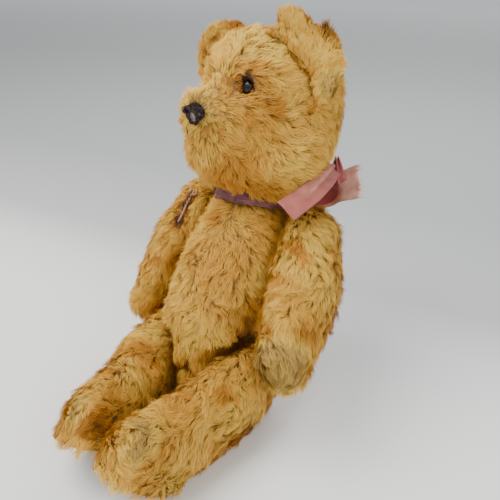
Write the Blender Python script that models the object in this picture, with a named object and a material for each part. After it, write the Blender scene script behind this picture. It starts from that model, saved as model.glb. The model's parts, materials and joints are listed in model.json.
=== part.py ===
"""Jointed mohair teddy bear, sitting. One solid for each sewn, cut, turned or bent piece.

Run with blender --background --python part.py. Metres, +Z up. The bear faces -Y and its left side is +X.
The origin is the middle of the flat patch that the bear sits on.
"""

import math

import bmesh
import bpy
import numpy as np
from mathutils import Matrix, Vector

MM = 0.001
GAP = 0.3 * MM
MERGE = 0.001 * MM
CUT_SNAP = 0.0001 * MM
ALMOST_NOTHING = 1e-6
SIDES = {"left": 1, "right": -1}

# How the bear sits
LEAN = math.radians(20)
HIP_HEIGHT = 39.8 * MM
HEAD_TURN = math.radians(-13)
HEAD_TIP = math.radians(10)
HEAD_ROLL = math.radians(4)
LEG_SWING = math.radians(-87)
ARM_SWING = {"left": math.radians(-29), "right": math.radians(-6)}

# Joint centres in the torso's own frame: its z runs up the spine from the hip line
HIP = Vector((27, -4, 0)) * MM
HIP_TOE_IN = {"left": math.radians(5), "right": math.radians(19)}
SHOULDER = Vector((43, 6, 118)) * MM
SHOULDER_SLOPE = {"left": math.radians(21), "right": math.radians(12)}
NECK = Vector((0, 2, 152)) * MM

# Stuffed parts: sections along each, in mm and radians, as
# (way along, forward, sideways, tilt of the section, half depth, half width)
TORSO_SECTIONS = [
    (-144, -2, 0, 0, 37, 37),
    (-105, 1, 0, 0, 50, 46),
    (-70, 6, 0, 0, 59, 51),
    (-35, 7, 0, 0, 59, 51),
    (0, 5, 0, 0, 55, 48),
    (24, 4, 0, 0, 46, 42),
]
ARM_SECTIONS = [
    (-4, 0, 21, 0, 31, 22),
    (22, 0, 23, 0, 35, 26),
    (50, 0, 24, 0, 36, 26),
    (77, 3, 24, 0.06, 33, 23),
    (104, 7, 23, 0.16, 28, 20),
]
LEG_SECTIONS = [
    (-6, 0, 20, 0, 33, 21),
    (25, 0, 26, 0, 38, 28),
    (60, 0, 27, 0, 38, 28),
    (92, 0, 26, 0, 37, 26.5),
    (113, 2, 27, 0, 39, 27),
    (130, 5, 28, 0, 39, 27),
]
TORSO_ROUND = (16, 26)
ARM_ROUND, LEG_ROUND = (26, 24), (28, 33)
RING_SIDES = 24
END_STEPS, LAST_STEP = 4, 0.35
TORSO_RINGS, LIMB_RINGS = 10, 8
HEAD_SEGMENTS, HEAD_ROWS = 30, 22
EAR_SEGMENTS, EAR_ROWS = 16, 10
SHARP_EDGE = math.radians(40)

# Head, in its own frame: z up from the neck joint, muzzle along -Y
# Each lump is a centre and its three radii, in mm
SKULL_CENTRE = Vector((0, 4, 70))
HEAD_LUMPS = {
    "skull": ((0, 4, 5), (60, 50, 64)),
    "forehead": ((0, -32, 24), (43, 30, 40)),
    "cheeks": ((0, -7, -29), (61, 47, 41)),
    "muzzle": ((0, -61, 3), (28, 28, 29)),
    "chin": ((0, -53, -33), (30, 25, 22)),
    "neck": ((0, -2, -56), (40, 38, 24)),
}
EYE_DENTS = {"left": ((27, -61, 26), 13), "right": ((-28, -61, 19), 13)}
HEAD_BLEND, DENT_BLEND = 7.0, 3.0
HEAD_REACH, HALVINGS = 160.0, 26
FAINTEST = 1e-300
HEAD_CLEAR = 0.42

# Ears: round flaps let into the head from the crown down to the eye line
# Each is its root in mm, its way across and its way up
EARS = {
    "left": (Vector((36, -12, 109)), Vector((0.8, 0.55, -0.42)), Vector((0.25, 0.3, 0.88))),
    "right": (Vector((-33, -12, 99)), Vector((0.65, 0.1, 0.75)), Vector((-0.75, -0.2, 0.6))),
}
EAR_HIGH, EAR_WIDE, EAR_THICK, EAR_CUP = 45, 38, 8, 9

# Face
EYE_RADIUS = 5.5 * MM
EYE_SUNK = 1.0 * MM
EYE_ROOM = 0.45 * MM
EYE_TOWARD = {"left": Vector((25, -50, 25)), "right": Vector((-27, -50, 17))}
NOSE_TOWARD = Vector((8, -80, 1))
NOSE_RADII, NOSE_SUNK = (13, 5, 9), 1.0
MOUTH_PATH = [
    (-4, -80, -16),
    (-6, -80, -23),
    (-4, -80, -29),
    (0, -78, -34),
    (6, -76, -42),
    (11, -74, -50),
]
THREAD_RADIUS, THREAD_OUT, THREAD_SIDES = 1.5, 0.5, 6

# Pads: flat cloth ovals let into the soles and paws
SOLE_TILT = math.radians(46)
SOLE_AT = Vector((0, 6, -135)) * MM
PAW_SLANT = Vector((-0.30, 0.80, -0.52))
PAW_AT = Vector((20, 12, -116)) * MM
PAD_THICK = 2.0 * MM

# Flats on the torso that the limbs lie against
HIP_SWEEP, SLOT_LONG, SLOT_WIDE, SLOT_STEPS = 40, 220, 80, 6
ARM_SEAT_RADIUS = 37

# Disc joints: card discs, steel washers and a cotter pin through both
DISC_RADIUS = {"neck": 22, "shoulder": 16, "hip": 18}
DISC_THICK, DISC_DEPTH = 2.5, 7.0
WASHER_RADIUS, WASHER_THICK = 8.0, 1.0
PIN_RADIUS, PIN_HOLE = 1.5, 2.0
PIN_HEAD_RADIUS, PIN_HEAD_LONG = 4.2, 3.0
ROOM, PIN_END_ROOM, PAST_FACE = 0.4, 1.0, 1.0
DISC_SIDES, WASHER_SIDES, PIN_SIDES = 18, 14, 8

# Ribbon, drawn together round the neck, in the neck's frame and in mm
# A tail is a row of places along its middle, each with the way across it
BAND_INNER, BAND_OUTER = 36.8, 38.2
BAND_LOW, BAND_HIGH = -7.0, -0.6
KNOT_AT, KNOT_RADII = (24.5, 36.5, -5.5), (8.5, 7, 4)
TAIL_WIDE, TAIL_THICK, TAIL_ROWS = 17, 1.4, 14
BAND_SIDES = 32
TAILS = {
    "front": [
        ((28, 42, -5), (0.3, 1, 0.3)),
        ((50, 42, 12), (0.3, 0.6, 0.7)),
        ((61, 23, 30), (0.2, 0.3, 0.9)),
        ((67, -2, 26), (0.3, 0.4, 0.9)),
        ((65, -22, 15), (0.4, 0.6, 0.6)),
        ((60, -36, 9), (0.4, 0.8, 0.3)),
    ],
    "back": [
        ((28, 42, -5), (-0.2, 1, 0.3)),
        ((48, 51, 10), (-0.3, 0.4, 0.9)),
        ((62, 45, 23), (-0.2, 0.2, 1)),
        ((76, 36, 28), (-0.1, 0.1, 1)),
    ],
}


def turn(angle, axis):
    return Matrix.Rotation(angle, 4, axis)


def shift(vector):
    return Matrix.Translation(vector)


def sided(vector, side):
    """A place given for the bear's left side, on the side asked for."""
    return Vector((SIDES[side] * vector[0], vector[1], vector[2]))


def torso_frame():
    return shift((0, 0, HIP_HEIGHT)) @ turn(-LEAN, "X")


def neck_frame():
    return torso_frame() @ shift(NECK)


def head_frame():
    return neck_frame() @ turn(HEAD_TURN, "Z") @ turn(HEAD_ROLL, "Y") @ turn(HEAD_TIP, "X")


def shoulder_frame(side):
    slope = turn(-SIDES[side] * SHOULDER_SLOPE[side], "Y")
    return torso_frame() @ shift(sided(SHOULDER, side)) @ slope


def hip_frame(side):
    spot = torso_frame() @ sided(HIP, side)
    return shift(spot) @ turn(-SIDES[side] * HIP_TOE_IN[side], "Z")


def arm_frame(side):
    return shoulder_frame(side) @ turn(ARM_SWING[side], "X")


def leg_frame(side):
    return hip_frame(side) @ turn(LEG_SWING, "X")


def ear_frame(side):
    root, across, up = EARS[side]
    side_way, back_way = squared(up.normalized(), across)
    frame = Matrix.Identity(4)
    for j, column in enumerate((side_way, back_way, up.normalized(), root * MM)):
        frame.col[j].xyz = column
    return head_frame() @ frame


def outward_frame(frame, side):
    """A joint's frame turned so that its z points from the torso into the limb."""
    return frame @ turn(SIDES[side] * math.pi / 2, "Y")


def flow(keys, count):
    """Sections along a part, read from its key sections on a smooth curve through them."""
    keys = np.array(keys, float)
    found = []
    for spot in np.linspace(0, len(keys) - 1, count):
        i = min(int(spot), len(keys) - 2)
        t = spot - i
        before, after = keys[max(i - 1, 0)], keys[min(i + 2, len(keys) - 1)]
        slope_in, slope_out = (keys[i + 1] - before) / 2, (after - keys[i]) / 2
        found.append(
            (2 * t**3 - 3 * t**2 + 1) * keys[i]
            + (t**3 - 2 * t**2 + t) * slope_in
            + (3 * t**2 - 2 * t**3) * keys[i + 1]
            + (t**3 - t**2) * slope_out
        )
    return found


def round_end(section, reach, outward):
    """Sections of a round end: each is smaller than the last as it moves out by up to reach."""
    along, forward, sideways, tilt, deep, wide = section
    found = []
    for k in range(1, END_STEPS + 1):
        angle = math.pi / 2 * k / (END_STEPS + LAST_STEP)
        move = outward * reach * math.sin(angle)
        shrink = math.cos(angle)
        centre = (along + move * math.cos(tilt), forward + move * math.sin(tilt), sideways)
        found.append((*centre, tilt, deep * shrink, wide * shrink))
    return found


def section_matrix(section):
    """Places a unit circle as one section. A part hangs along -Z and its front is -Y."""
    along, forward, sideways, tilt, deep, wide = section
    columns = (
        Vector((wide, 0, 0)),
        Vector((0, -math.cos(tilt), math.sin(tilt))) * deep,
        Vector((0, -math.sin(tilt), -math.cos(tilt))),
        Vector((sideways, -forward, -along)),
    )
    matrix = Matrix.Identity(4)
    for j, column in enumerate(columns):
        matrix.col[j].xyz = column * MM
    return matrix


def skin(sections, sides=RING_SIDES):
    """One closed skin over round sections."""
    bm = bmesh.new()
    rings = []
    for section in sections:
        ring = bmesh.ops.create_circle(bm, segments=sides, radius=1, matrix=section_matrix(section))
        rings.append(ring["verts"])
    for near, far in zip(rings, rings[1:]):
        for i in range(sides):
            j = (i + 1) % sides
            bm.faces.new((near[i], near[j], far[j], far[i]))
    bm.faces.new(reversed(rings[0]))
    bm.faces.new(rings[-1])
    bmesh.ops.recalc_face_normals(bm, faces=bm.faces)
    return bm


def flat_cut(bm, at, normal):
    """Cuts a closed body with a plane, drops what lies past it and closes the cut."""
    everything = bm.verts[:] + bm.edges[:] + bm.faces[:]
    cut = bmesh.ops.bisect_plane(
        bm, geom=everything, dist=CUT_SNAP, plane_co=at, plane_no=normal, clear_outer=True
    )
    rim = [edge for edge in cut["geom_cut"] if isinstance(edge, bmesh.types.BMEdge)]
    if rim:
        bmesh.ops.contextual_create(bm, geom=rim)


def floor_cut(bm, frame):
    """Rests a body on the floor: what would sink below it is pressed flat."""
    back = frame.inverted()
    flat_cut(bm, back @ Vector((0, 0, 0)), back.to_3x3() @ Vector((0, 0, -1)))


def spun(points, pairs, sides):
    """A body made by turning a chain of (radius, height) points in mm once round z."""
    bm = bmesh.new()
    verts = [bm.verts.new((r * MM, 0, z * MM)) for r, z in points]
    edges = [bm.edges.new((verts[i], verts[j])) for i, j in pairs]
    bmesh.ops.spin(bm, geom=verts + edges, axis=(0, 0, 1), angle=math.tau, steps=sides, use_merge=True)
    bmesh.ops.remove_doubles(bm, verts=bm.verts, dist=MERGE)
    bmesh.ops.recalc_face_normals(bm, faces=bm.faces)
    return bm


def turned(profile, sides=20):
    """A closed turned body. Its profile runs from one end of the axis to the other."""
    points = [(0, profile[0][1]), *profile, (0, profile[-1][1])]
    return spun(points, [(i, i + 1) for i in range(len(points) - 1)], sides)


def flat_ring(outer, inner, low, high, sides):
    points = [(inner, low), (outer, low), (outer, high), (inner, high)]
    return spun(points, [(0, 1), (1, 2), (2, 3), (3, 0)], sides)


# Finishes: colour, roughness and metallic
FINISHES = {
    "mohair": ((0.52, 0.33, 0.12), 0.95, 0.0),
    "pad_cloth": ((0.16, 0.11, 0.07), 0.85, 0.0),
    "eye_glass": ((0.05, 0.025, 0.012), 0.08, 0.0),
    "embroidery": ((0.03, 0.022, 0.02), 0.7, 0.0),
    "ribbon_silk": ((0.55, 0.2, 0.23), 0.5, 0.0),
    "card": ((0.36, 0.25, 0.15), 0.9, 0.0),
    "steel": ((0.45, 0.43, 0.4), 0.4, 1.0),
}


def finish(slot):
    if slot in bpy.data.materials:
        return bpy.data.materials[slot]
    made = bpy.data.materials.new(slot)
    made.use_nodes = True
    shader = made.node_tree.nodes["Principled BSDF"]
    colour, roughness, metallic = FINISHES[slot]
    shader.inputs["Base Color"].default_value = (*colour, 1)
    shader.inputs["Roughness"].default_value = roughness
    shader.inputs["Metallic"].default_value = metallic
    return made


def joint_empty(name, frame):
    empty = bpy.data.objects.new(name, None)
    bpy.context.scene.collection.objects.link(empty)
    empty.matrix_world = frame
    return empty


def piece(name, bm, parent, slot):
    """A named object under its joint's empty, so that its origin is on the joint's axis."""
    mesh = bpy.data.meshes.new(name)
    bm.to_mesh(mesh)
    bm.free()
    mesh.shade_smooth()
    mesh.set_sharp_from_angle(angle=SHARP_EDGE)
    mesh.materials.append(finish(slot))
    made = bpy.data.objects.new(name, mesh)
    bpy.context.scene.collection.objects.link(made)
    made.parent = parent
    return made


def cutter(name, bm, parent, place=None):
    """A hidden body that a Boolean takes away. It is no part of the bear."""
    if place:
        bmesh.ops.transform(bm, matrix=place, verts=bm.verts)
    made = piece(name, bm, parent, "card")
    made.hide_render = True
    made.display_type = "WIRE"
    return made


def take_away(target, tool, operation="DIFFERENCE"):
    change = target.modifiers.new(tool.name, "BOOLEAN")
    change.operation = operation
    change.object = tool
    change.solver = "EXACT"


def stuffed(sections, count, near_round, far_round):
    """A sewn and stuffed part: its skin through smooth sections, with both ends rounded."""
    body = flow(sections, count)
    near = round_end(body[0], near_round, -1)[::-1]
    far = round_end(body[-1], far_round, 1)
    return skin([*near, *body, *far])


def mirrored(sections, side):
    return [(a, f, SIDES[side] * x, t, d, w) for a, f, x, t, d, w in sections]


def inner_face_cut(bm, side):
    """The flat face by which a limb's disc lies against the torso."""
    s = SIDES[side]
    flat_cut(bm, (s * GAP / 2, 0, 0), (-s, 0, 0))


# Disc joints. Each is built in its own frame: z from the torso into the limb, the joint face at 0
def pocket(kind, s):
    """Room for one half of a joint, from its own face inwards: pin hole, disc, then washer and pin end."""
    face, disc = DISC_DEPTH, DISC_DEPTH + DISC_THICK
    radius = DISC_RADIUS[kind] + ROOM
    depth = disc + 2 * ROOM + WASHER_THICK + PIN_HEAD_LONG + PIN_END_ROOM
    profile = [
        (PIN_HOLE, -PAST_FACE),
        (PIN_HOLE, face - ROOM),
        (radius, face - ROOM),
        (radius, disc + ROOM),
        (WASHER_RADIUS + ROOM, disc + ROOM),
        (WASHER_RADIUS + ROOM, depth),
    ]
    return turned([(r, s * z) for r, z in profile], DISC_SIDES)


def disc_shape(kind, s):
    low, high = sorted((s * DISC_DEPTH, s * (DISC_DEPTH + DISC_THICK)))
    return flat_ring(DISC_RADIUS[kind], PIN_HOLE, low, high, DISC_SIDES)


def washer_shape(s):
    start = DISC_DEPTH + DISC_THICK + GAP / MM
    low, high = sorted((s * start, s * (start + WASHER_THICK)))
    return flat_ring(WASHER_RADIUS, PIN_HOLE, low, high, WASHER_SIDES)


def pin_shape():
    """The cotter pin: a round eye on the torso's side, its two legs rolled back on the limb's side."""
    stop = DISC_DEPTH + DISC_THICK + 2 * GAP / MM + WASHER_THICK
    profile = [
        (PIN_HEAD_RADIUS, -stop - PIN_HEAD_LONG),
        (PIN_HEAD_RADIUS, -stop),
        (PIN_RADIUS, -stop),
        (PIN_RADIUS, stop),
        (PIN_HEAD_RADIUS, stop),
        (PIN_HEAD_RADIUS, stop + PIN_HEAD_LONG),
    ]
    return turned(profile, PIN_SIDES)


def placed(bm, matrix):
    bmesh.ops.transform(bm, matrix=matrix, verts=bm.verts)
    return bm


def disc_joint(name, kind, frame, torso, limb, limb_frame):
    """Cuts the two pockets and fits the discs, washers and pin. The limb's half turns with the limb."""
    into_limb = limb_frame.inverted() @ frame
    into_torso = torso.parent.matrix_world.inverted() @ frame
    take_away(limb, cutter(f"{name}_limb_pocket", pocket(kind, 1), limb.parent, into_limb))
    take_away(torso, cutter(f"{name}_torso_pocket", pocket(kind, -1), torso.parent, into_torso))
    piece(f"{name}_limb_disc", placed(disc_shape(kind, 1), into_limb), limb.parent, "card")
    piece(f"{name}_limb_washer", placed(washer_shape(1), into_limb), limb.parent, "steel")
    piece(f"{name}_torso_disc", placed(disc_shape(kind, -1), into_torso), torso.parent, "card")
    piece(f"{name}_torso_washer", placed(washer_shape(-1), into_torso), torso.parent, "steel")
    piece(f"{name}_pin", placed(pin_shape(), into_torso), torso.parent, "steel")


def hip_slot(side):
    """The side of the torso that the thigh lies against and sweeps past, in the hip's frame."""
    outline = [(-SLOT_LONG, HIP_SWEEP), (0, HIP_SWEEP)]
    for angle in np.linspace(0, math.pi / 2, SLOT_STEPS)[1:]:
        outline.append((HIP_SWEEP * math.sin(angle), HIP_SWEEP * math.cos(angle)))
    outline += [(HIP_SWEEP, -SLOT_LONG), (-SLOT_LONG, -SLOT_LONG)]
    bm = bmesh.new()
    inner = -SIDES[side] * GAP / 2
    face = bm.faces.new([bm.verts.new((inner, y * MM, z * MM)) for y, z in outline])
    grown = bmesh.ops.extrude_face_region(bm, geom=[face])
    moved = [v for v in grown["geom"] if isinstance(v, bmesh.types.BMVert)]
    bmesh.ops.translate(bm, verts=moved, vec=(SIDES[side] * SLOT_WIDE * MM, 0, 0))
    bmesh.ops.recalc_face_normals(bm, faces=bm.faces)
    return bm


def shoulder_seat():
    """Takes a flat seat for the arm off the torso's shoulder, in the outward frame."""
    return turned([(ARM_SEAT_RADIUS, -GAP / MM / 2), (ARM_SEAT_RADIUS, SLOT_WIDE)], RING_SIDES)


def torso_piece(base):
    bm = stuffed(TORSO_SECTIONS, TORSO_RINGS, *TORSO_ROUND)
    flat_cut(bm, NECK - Vector((0, 0, GAP / 2)), (0, 0, 1))
    floor_cut(bm, torso_frame())
    return piece("torso", bm, base, "mohair")


def head_skin(grow=0.0):
    """The head's blended lumps as one skin, each point as far out as the lumps reach."""
    bm = bmesh.new()
    bmesh.ops.create_uvsphere(bm, u_segments=HEAD_SEGMENTS, v_segments=HEAD_ROWS, radius=1)
    ways = np.array([v.co.normalized() for v in bm.verts])
    for vert, way, far in zip(bm.verts, ways, lump_reach(ways, grow)):
        vert.co = (SKULL_CENTRE + Vector(way) * far) * MM
    return bm


def lump_reach(ways, grow=0.0):
    """How far the blended lumps reach from the skull's centre along each way, by halving."""
    low, high = np.zeros(len(ways)), np.full(len(ways), HEAD_REACH)
    for _ in range(HALVINGS):
        middle = (low + high) / 2
        outside = lump_gap(ways * middle[:, None]) > grow
        high = np.where(outside, middle, high)
        low = np.where(outside, low, middle)
    return (low + high) / 2


def lump_gap(spots):
    """How far each spot is outside the blended lumps, in mm."""
    total = np.zeros(len(spots))
    for centre, radii in HEAD_LUMPS.values():
        scaled = (spots - np.array(centre)) / np.array(radii)
        size = np.linalg.norm(scaled, axis=1)
        slope = np.linalg.norm(scaled / np.array(radii), axis=1)
        total += np.exp(-size * (size - 1) / np.maximum(slope, ALMOST_NOTHING) / HEAD_BLEND)
    gap = -HEAD_BLEND * np.log(np.maximum(total, FAINTEST))
    for centre, radius in EYE_DENTS.values():
        depth = radius - np.linalg.norm(spots - np.array(centre), axis=1)
        gap = DENT_BLEND * np.logaddexp(gap / DENT_BLEND, depth / DENT_BLEND)
    return gap


def on_head(way, out=0.0):
    """The place on the head's skin along a way from the skull's centre, in mm."""
    way = Vector(way).normalized()
    return SKULL_CENTRE + way * (float(lump_reach(np.array([way]))[0]) + out)


def head_piece(parent):
    bm = head_skin()
    back = head_frame().inverted() @ neck_frame()
    flat_cut(bm, back @ Vector((0, 0, GAP / 2)), back.to_3x3() @ Vector((0, 0, -1)))
    return piece("head", bm, parent, "mohair")


def ear_piece(side, parent, head_tool):
    """A round flap, cupped forward. What would lie inside the head is cut away."""
    bm = bmesh.new()
    bmesh.ops.create_uvsphere(bm, u_segments=EAR_SEGMENTS, v_segments=EAR_ROWS, radius=1)
    for v in bm.verts:
        x, y, z = v.co
        cup = EAR_CUP * (x * x + z * z)
        v.co = Vector((x * EAR_WIDE, y * EAR_THICK - cup, z * EAR_HIGH)) * MM
    bmesh.ops.recalc_face_normals(bm, faces=bm.faces)
    placed(bm, head_frame().inverted() @ ear_frame(side))
    ear = piece(f"ear_{side}", bm, parent, "mohair")
    take_away(ear, head_tool)


def ball(radius, centre):
    bm = bmesh.new()
    bmesh.ops.create_icosphere(bm, subdivisions=2, radius=radius, matrix=shift(centre))
    return bm


def lump(centre, radii):
    """A low oval lump in mm."""
    bm = bmesh.new()
    size = Matrix.Diagonal((*radii, 1 / MM)) * MM
    place = shift(Vector(centre) * MM) @ size
    bmesh.ops.create_uvsphere(bm, u_segments=EAR_SEGMENTS, v_segments=EAR_ROWS, radius=1, matrix=place)
    return bm


def swept(middles, outlines):
    """A closed body through outlines set at each of a row of places, all in mm."""
    bm = bmesh.new()
    rings = []
    for middle, outline in zip(middles, outlines):
        rings.append([bm.verts.new((Vector(middle) + Vector(corner)) * MM) for corner in outline])
    for near, far in zip(rings, rings[1:]):
        for i in range(len(near)):
            side_of_two(bm, near, far, i)
    bm.faces.new(reversed(rings[0]))
    bm.faces.new(rings[-1])
    bmesh.ops.recalc_face_normals(bm, faces=bm.faces)
    return bm


def side_of_two(bm, near, far, i):
    """Two triangles between neighbouring outlines, split so that a thin strip may twist."""
    j = (i + 1) % len(near)
    if i < len(near) / 2:
        bm.faces.new((near[i], near[j], far[j]))
        bm.faces.new((near[i], far[j], far[i]))
    else:
        bm.faces.new((near[i], near[j], far[i]))
        bm.faces.new((near[j], far[j], far[i]))


def along(places):
    """The way a row of places runs at each of them."""
    places = [Vector(place) for place in places]
    ends = zip([places[0], *places[:-1]], [*places[1:], places[-1]])
    return [(after - before).normalized() for before, after in ends]


def squared(way, across):
    """Two unit ways across a run: the one nearest to the way given, and the one square to both."""
    side = (Vector(across) - way * way.dot(Vector(across))).normalized()
    return side, way.cross(side)


def thread(places, radius):
    """A round thread through a row of places that run down the face."""
    outlines = []
    for way in along(places):
        side, face = squared(way, (1, 0, 0))
        angles = [math.tau * k / THREAD_SIDES for k in range(THREAD_SIDES)]
        outlines.append([(side * math.cos(a) + face * math.sin(a)) * radius for a in angles])
    return swept(places, outlines)


def strip(places, acrosses, wide, thick):
    """A flat strip through a row of places, with the way across it given at each."""
    outlines = []
    for way, across in zip(along(places), acrosses):
        side, face = squared(way, across)
        side, face = side * wide / 2, face * thick / 2
        outlines.append([side + face, side - face, -side - face, -side + face])
    return swept(places, outlines)


def eye_pieces(side, head):
    """A glass ball eye in its socket."""
    way = EYE_TOWARD[side]
    centre = on_head(way) * MM - way.normalized() * EYE_SUNK
    take_away(head, cutter(f"socket_{side}", ball(EYE_RADIUS + EYE_ROOM, centre), head.parent))
    piece(f"eye_{side}", ball(EYE_RADIUS, centre), head.parent, "eye_glass")


def stitching(parent, head_tool):
    """The stitched nose, a low oval of thread, and what is left of the mouth below it."""
    oval = lump(on_head(NOSE_TOWARD, -NOSE_SUNK), NOSE_RADII)
    nose = piece("nose_stitching", oval, parent, "embroidery")
    take_away(nose, head_tool)
    mouth_path = [on_head(way, THREAD_OUT) for way in MOUTH_PATH]
    mouth = piece("mouth_stitching", thread(mouth_path, THREAD_RADIUS), parent, "embroidery")
    take_away(mouth, head_tool)


def ribbon_piece(base):
    """A band drawn together round the neck, a knot at the bear's left back and two loose ends."""
    place = shift(NECK)
    band = flat_ring(BAND_OUTER, BAND_INNER, BAND_LOW, BAND_HIGH, BAND_SIDES)
    ribbon = piece("neck_ribbon", placed(band, place), base, "ribbon_silk")
    knot = cutter("ribbon_knot", lump(KNOT_AT, KNOT_RADII), base, place)
    take_away(ribbon, knot, "UNION")
    for name, rows in TAILS.items():
        smooth = flow([(*spot, *across) for spot, across in rows], TAIL_ROWS)
        tail = strip([row[:3] for row in smooth], [row[3:] for row in smooth], TAIL_WIDE, TAIL_THICK)
        take_away(ribbon, cutter(f"ribbon_{name}_tail", tail, base, place), "UNION")


def arm_pieces(side, torso):
    joint = joint_empty(f"shoulder_{side}_joint", arm_frame(side))
    bm = stuffed(mirrored(ARM_SECTIONS, side), LIMB_RINGS, *ARM_ROUND)
    inner_face_cut(bm, side)
    paw_at, slant = sided(PAW_AT, side), sided(PAW_SLANT, side)
    arm = pad_and_limb(bm, f"arm_{side}", f"paw_pad_{side}", paw_at, slant, joint)
    frame = outward_frame(shoulder_frame(side), side)
    slot_place = torso.parent.matrix_world.inverted() @ frame
    take_away(torso, cutter(f"shoulder_{side}_seat", shoulder_seat(), torso.parent, slot_place))
    disc_joint(f"shoulder_{side}", "shoulder", frame, torso, arm, arm_frame(side))


def leg_pieces(side, torso):
    joint = joint_empty(f"hip_{side}_joint", leg_frame(side))
    bm = stuffed(mirrored(LEG_SECTIONS, side), LIMB_RINGS, *LEG_ROUND)
    inner_face_cut(bm, side)
    floor_cut(bm, leg_frame(side))
    sole = Vector((0, math.sin(SOLE_TILT), -math.cos(SOLE_TILT)))
    leg = pad_and_limb(bm, f"leg_{side}", f"foot_pad_{side}", SOLE_AT, sole, joint)
    frame = outward_frame(hip_frame(side), side)
    slot_place = torso.parent.matrix_world.inverted() @ hip_frame(side)
    take_away(torso, cutter(f"hip_{side}_slot", hip_slot(side), torso.parent, slot_place))
    disc_joint(f"hip_{side}", "hip", frame, torso, leg, leg_frame(side))


def pad_and_limb(bm, limb_name, pad_name, at, normal, joint):
    """Cuts the end of a limb flat for its pad, and makes the pad from the slice past the cut."""
    normal = Vector(normal).normalized()
    slice_of = bm.copy()
    flat_cut(bm, at, normal)
    flat_cut(slice_of, at + normal * (GAP + PAD_THICK), normal)
    flat_cut(slice_of, at + normal * GAP, -normal)
    piece(pad_name, slice_of, joint, "pad_cloth")
    return piece(limb_name, bm, joint, "mohair")


def build():
    for old in list(bpy.data.objects):
        bpy.data.objects.remove(old)
    base = joint_empty("torso_frame", torso_frame())
    torso = torso_piece(base)
    neck = joint_empty("neck_joint", head_frame())
    head = head_piece(neck)
    head_tool = cutter("grown_head", head_skin(HEAD_CLEAR), neck)
    disc_joint("neck", "neck", neck_frame(), torso, head, head_frame())
    stitching(neck, head_tool)
    ribbon_piece(base)
    for side in SIDES:
        ear_piece(side, neck, head_tool)
        eye_pieces(side, head)
        arm_pieces(side, torso)
        leg_pieces(side, torso)


build()
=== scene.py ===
# %% [markdown]
# A threadbare teddy bear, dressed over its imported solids.
# The solids give the size, the joints and the place of every part. This script grows the
# worn mohair pile on them, and makes the face, the pads, the mended tear and the silk ribbon.
# The bear faces -Y, its left side is +X, and +Z is up.

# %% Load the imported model
import json
import math
from collections import namedtuple

import bmesh
import bpy
import numpy as np
from mathutils import Matrix, Vector, noise
from mathutils.bvhtree import BVHTree
from mathutils.kdtree import KDTree

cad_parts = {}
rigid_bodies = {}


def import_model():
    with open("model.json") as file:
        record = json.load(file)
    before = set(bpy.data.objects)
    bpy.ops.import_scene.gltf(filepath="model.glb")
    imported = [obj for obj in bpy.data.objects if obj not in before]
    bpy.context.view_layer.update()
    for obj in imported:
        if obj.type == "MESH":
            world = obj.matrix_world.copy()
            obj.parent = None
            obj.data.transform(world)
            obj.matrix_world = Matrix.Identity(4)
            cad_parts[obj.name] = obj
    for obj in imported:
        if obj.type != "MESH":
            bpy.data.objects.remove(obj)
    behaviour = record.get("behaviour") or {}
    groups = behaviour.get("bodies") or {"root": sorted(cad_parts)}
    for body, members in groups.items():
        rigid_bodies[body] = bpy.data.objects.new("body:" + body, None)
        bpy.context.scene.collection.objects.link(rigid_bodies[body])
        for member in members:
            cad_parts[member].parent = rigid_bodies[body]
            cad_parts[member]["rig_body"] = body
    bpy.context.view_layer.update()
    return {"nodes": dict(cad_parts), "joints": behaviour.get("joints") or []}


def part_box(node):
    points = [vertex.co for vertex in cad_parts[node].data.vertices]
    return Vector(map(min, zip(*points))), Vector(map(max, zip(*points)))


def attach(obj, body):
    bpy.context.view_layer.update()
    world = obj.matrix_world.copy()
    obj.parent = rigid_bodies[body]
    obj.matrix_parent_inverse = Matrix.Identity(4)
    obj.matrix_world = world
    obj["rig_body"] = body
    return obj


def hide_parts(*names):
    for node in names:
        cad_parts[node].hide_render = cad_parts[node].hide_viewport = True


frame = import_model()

MM = 0.001
SIDES = {"left": 1, "right": -1}

# %% [markdown]
# Small helpers come first. A finished piece has its place in its mesh, so that its object
# can stay at the origin, and it rides on the body of the part that it is sewn to.


# %% Helpers for pieces and places
def middle(node):
    """The middle of a CAD node's box."""
    low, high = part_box(node)
    return (low + high) / 2


def soft_step(x, low, high):
    """0 below low, 1 above high and smooth between, for arrays and single numbers."""
    t = np.clip((x - low) / (high - low), 0, 1)
    return t * t * (3 - 2 * t)


def linked(name, data):
    """A new object in the scene, at the origin."""
    made = bpy.data.objects.new(name, data)
    bpy.context.scene.collection.objects.link(made)
    return made


def body_holding(node):
    return frame["nodes"][node]["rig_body"]


def sewn_on(name, mesh, node):
    """A mesh as a piece that rides on the body of a CAD node."""
    made = linked(name, mesh)
    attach(made, body_holding(node))
    return made


def new_piece(name, bm, material, node):
    """A finished piece from a bmesh, sewn on to the part that a CAD node belongs to."""
    mesh = bpy.data.meshes.new(name)
    bm.to_mesh(mesh)
    bm.free()
    mesh.shade_smooth()
    mesh.materials.append(material)
    return sewn_on(name, mesh, node)


def waves(place, layers):
    """The height of layered noise at a place, from each layer's width and height."""
    return sum(noise.noise(place / wide) * high for wide, high in layers)


# %% [markdown]
# The camera looks down on the bear from its left front, as one looks at a toy on a table.
# It is placed by its turn, tilt and distance, because those are what a person would change.

# %% Camera
CAMERA_TURN, CAMERA_TILT = math.radians(40), math.radians(28)
CAMERA_DISTANCE, CAMERA_VIEW = 0.515, math.radians(45)
AIM_RIGHT, AIM_HIGH = 0.027, 0.146

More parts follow.
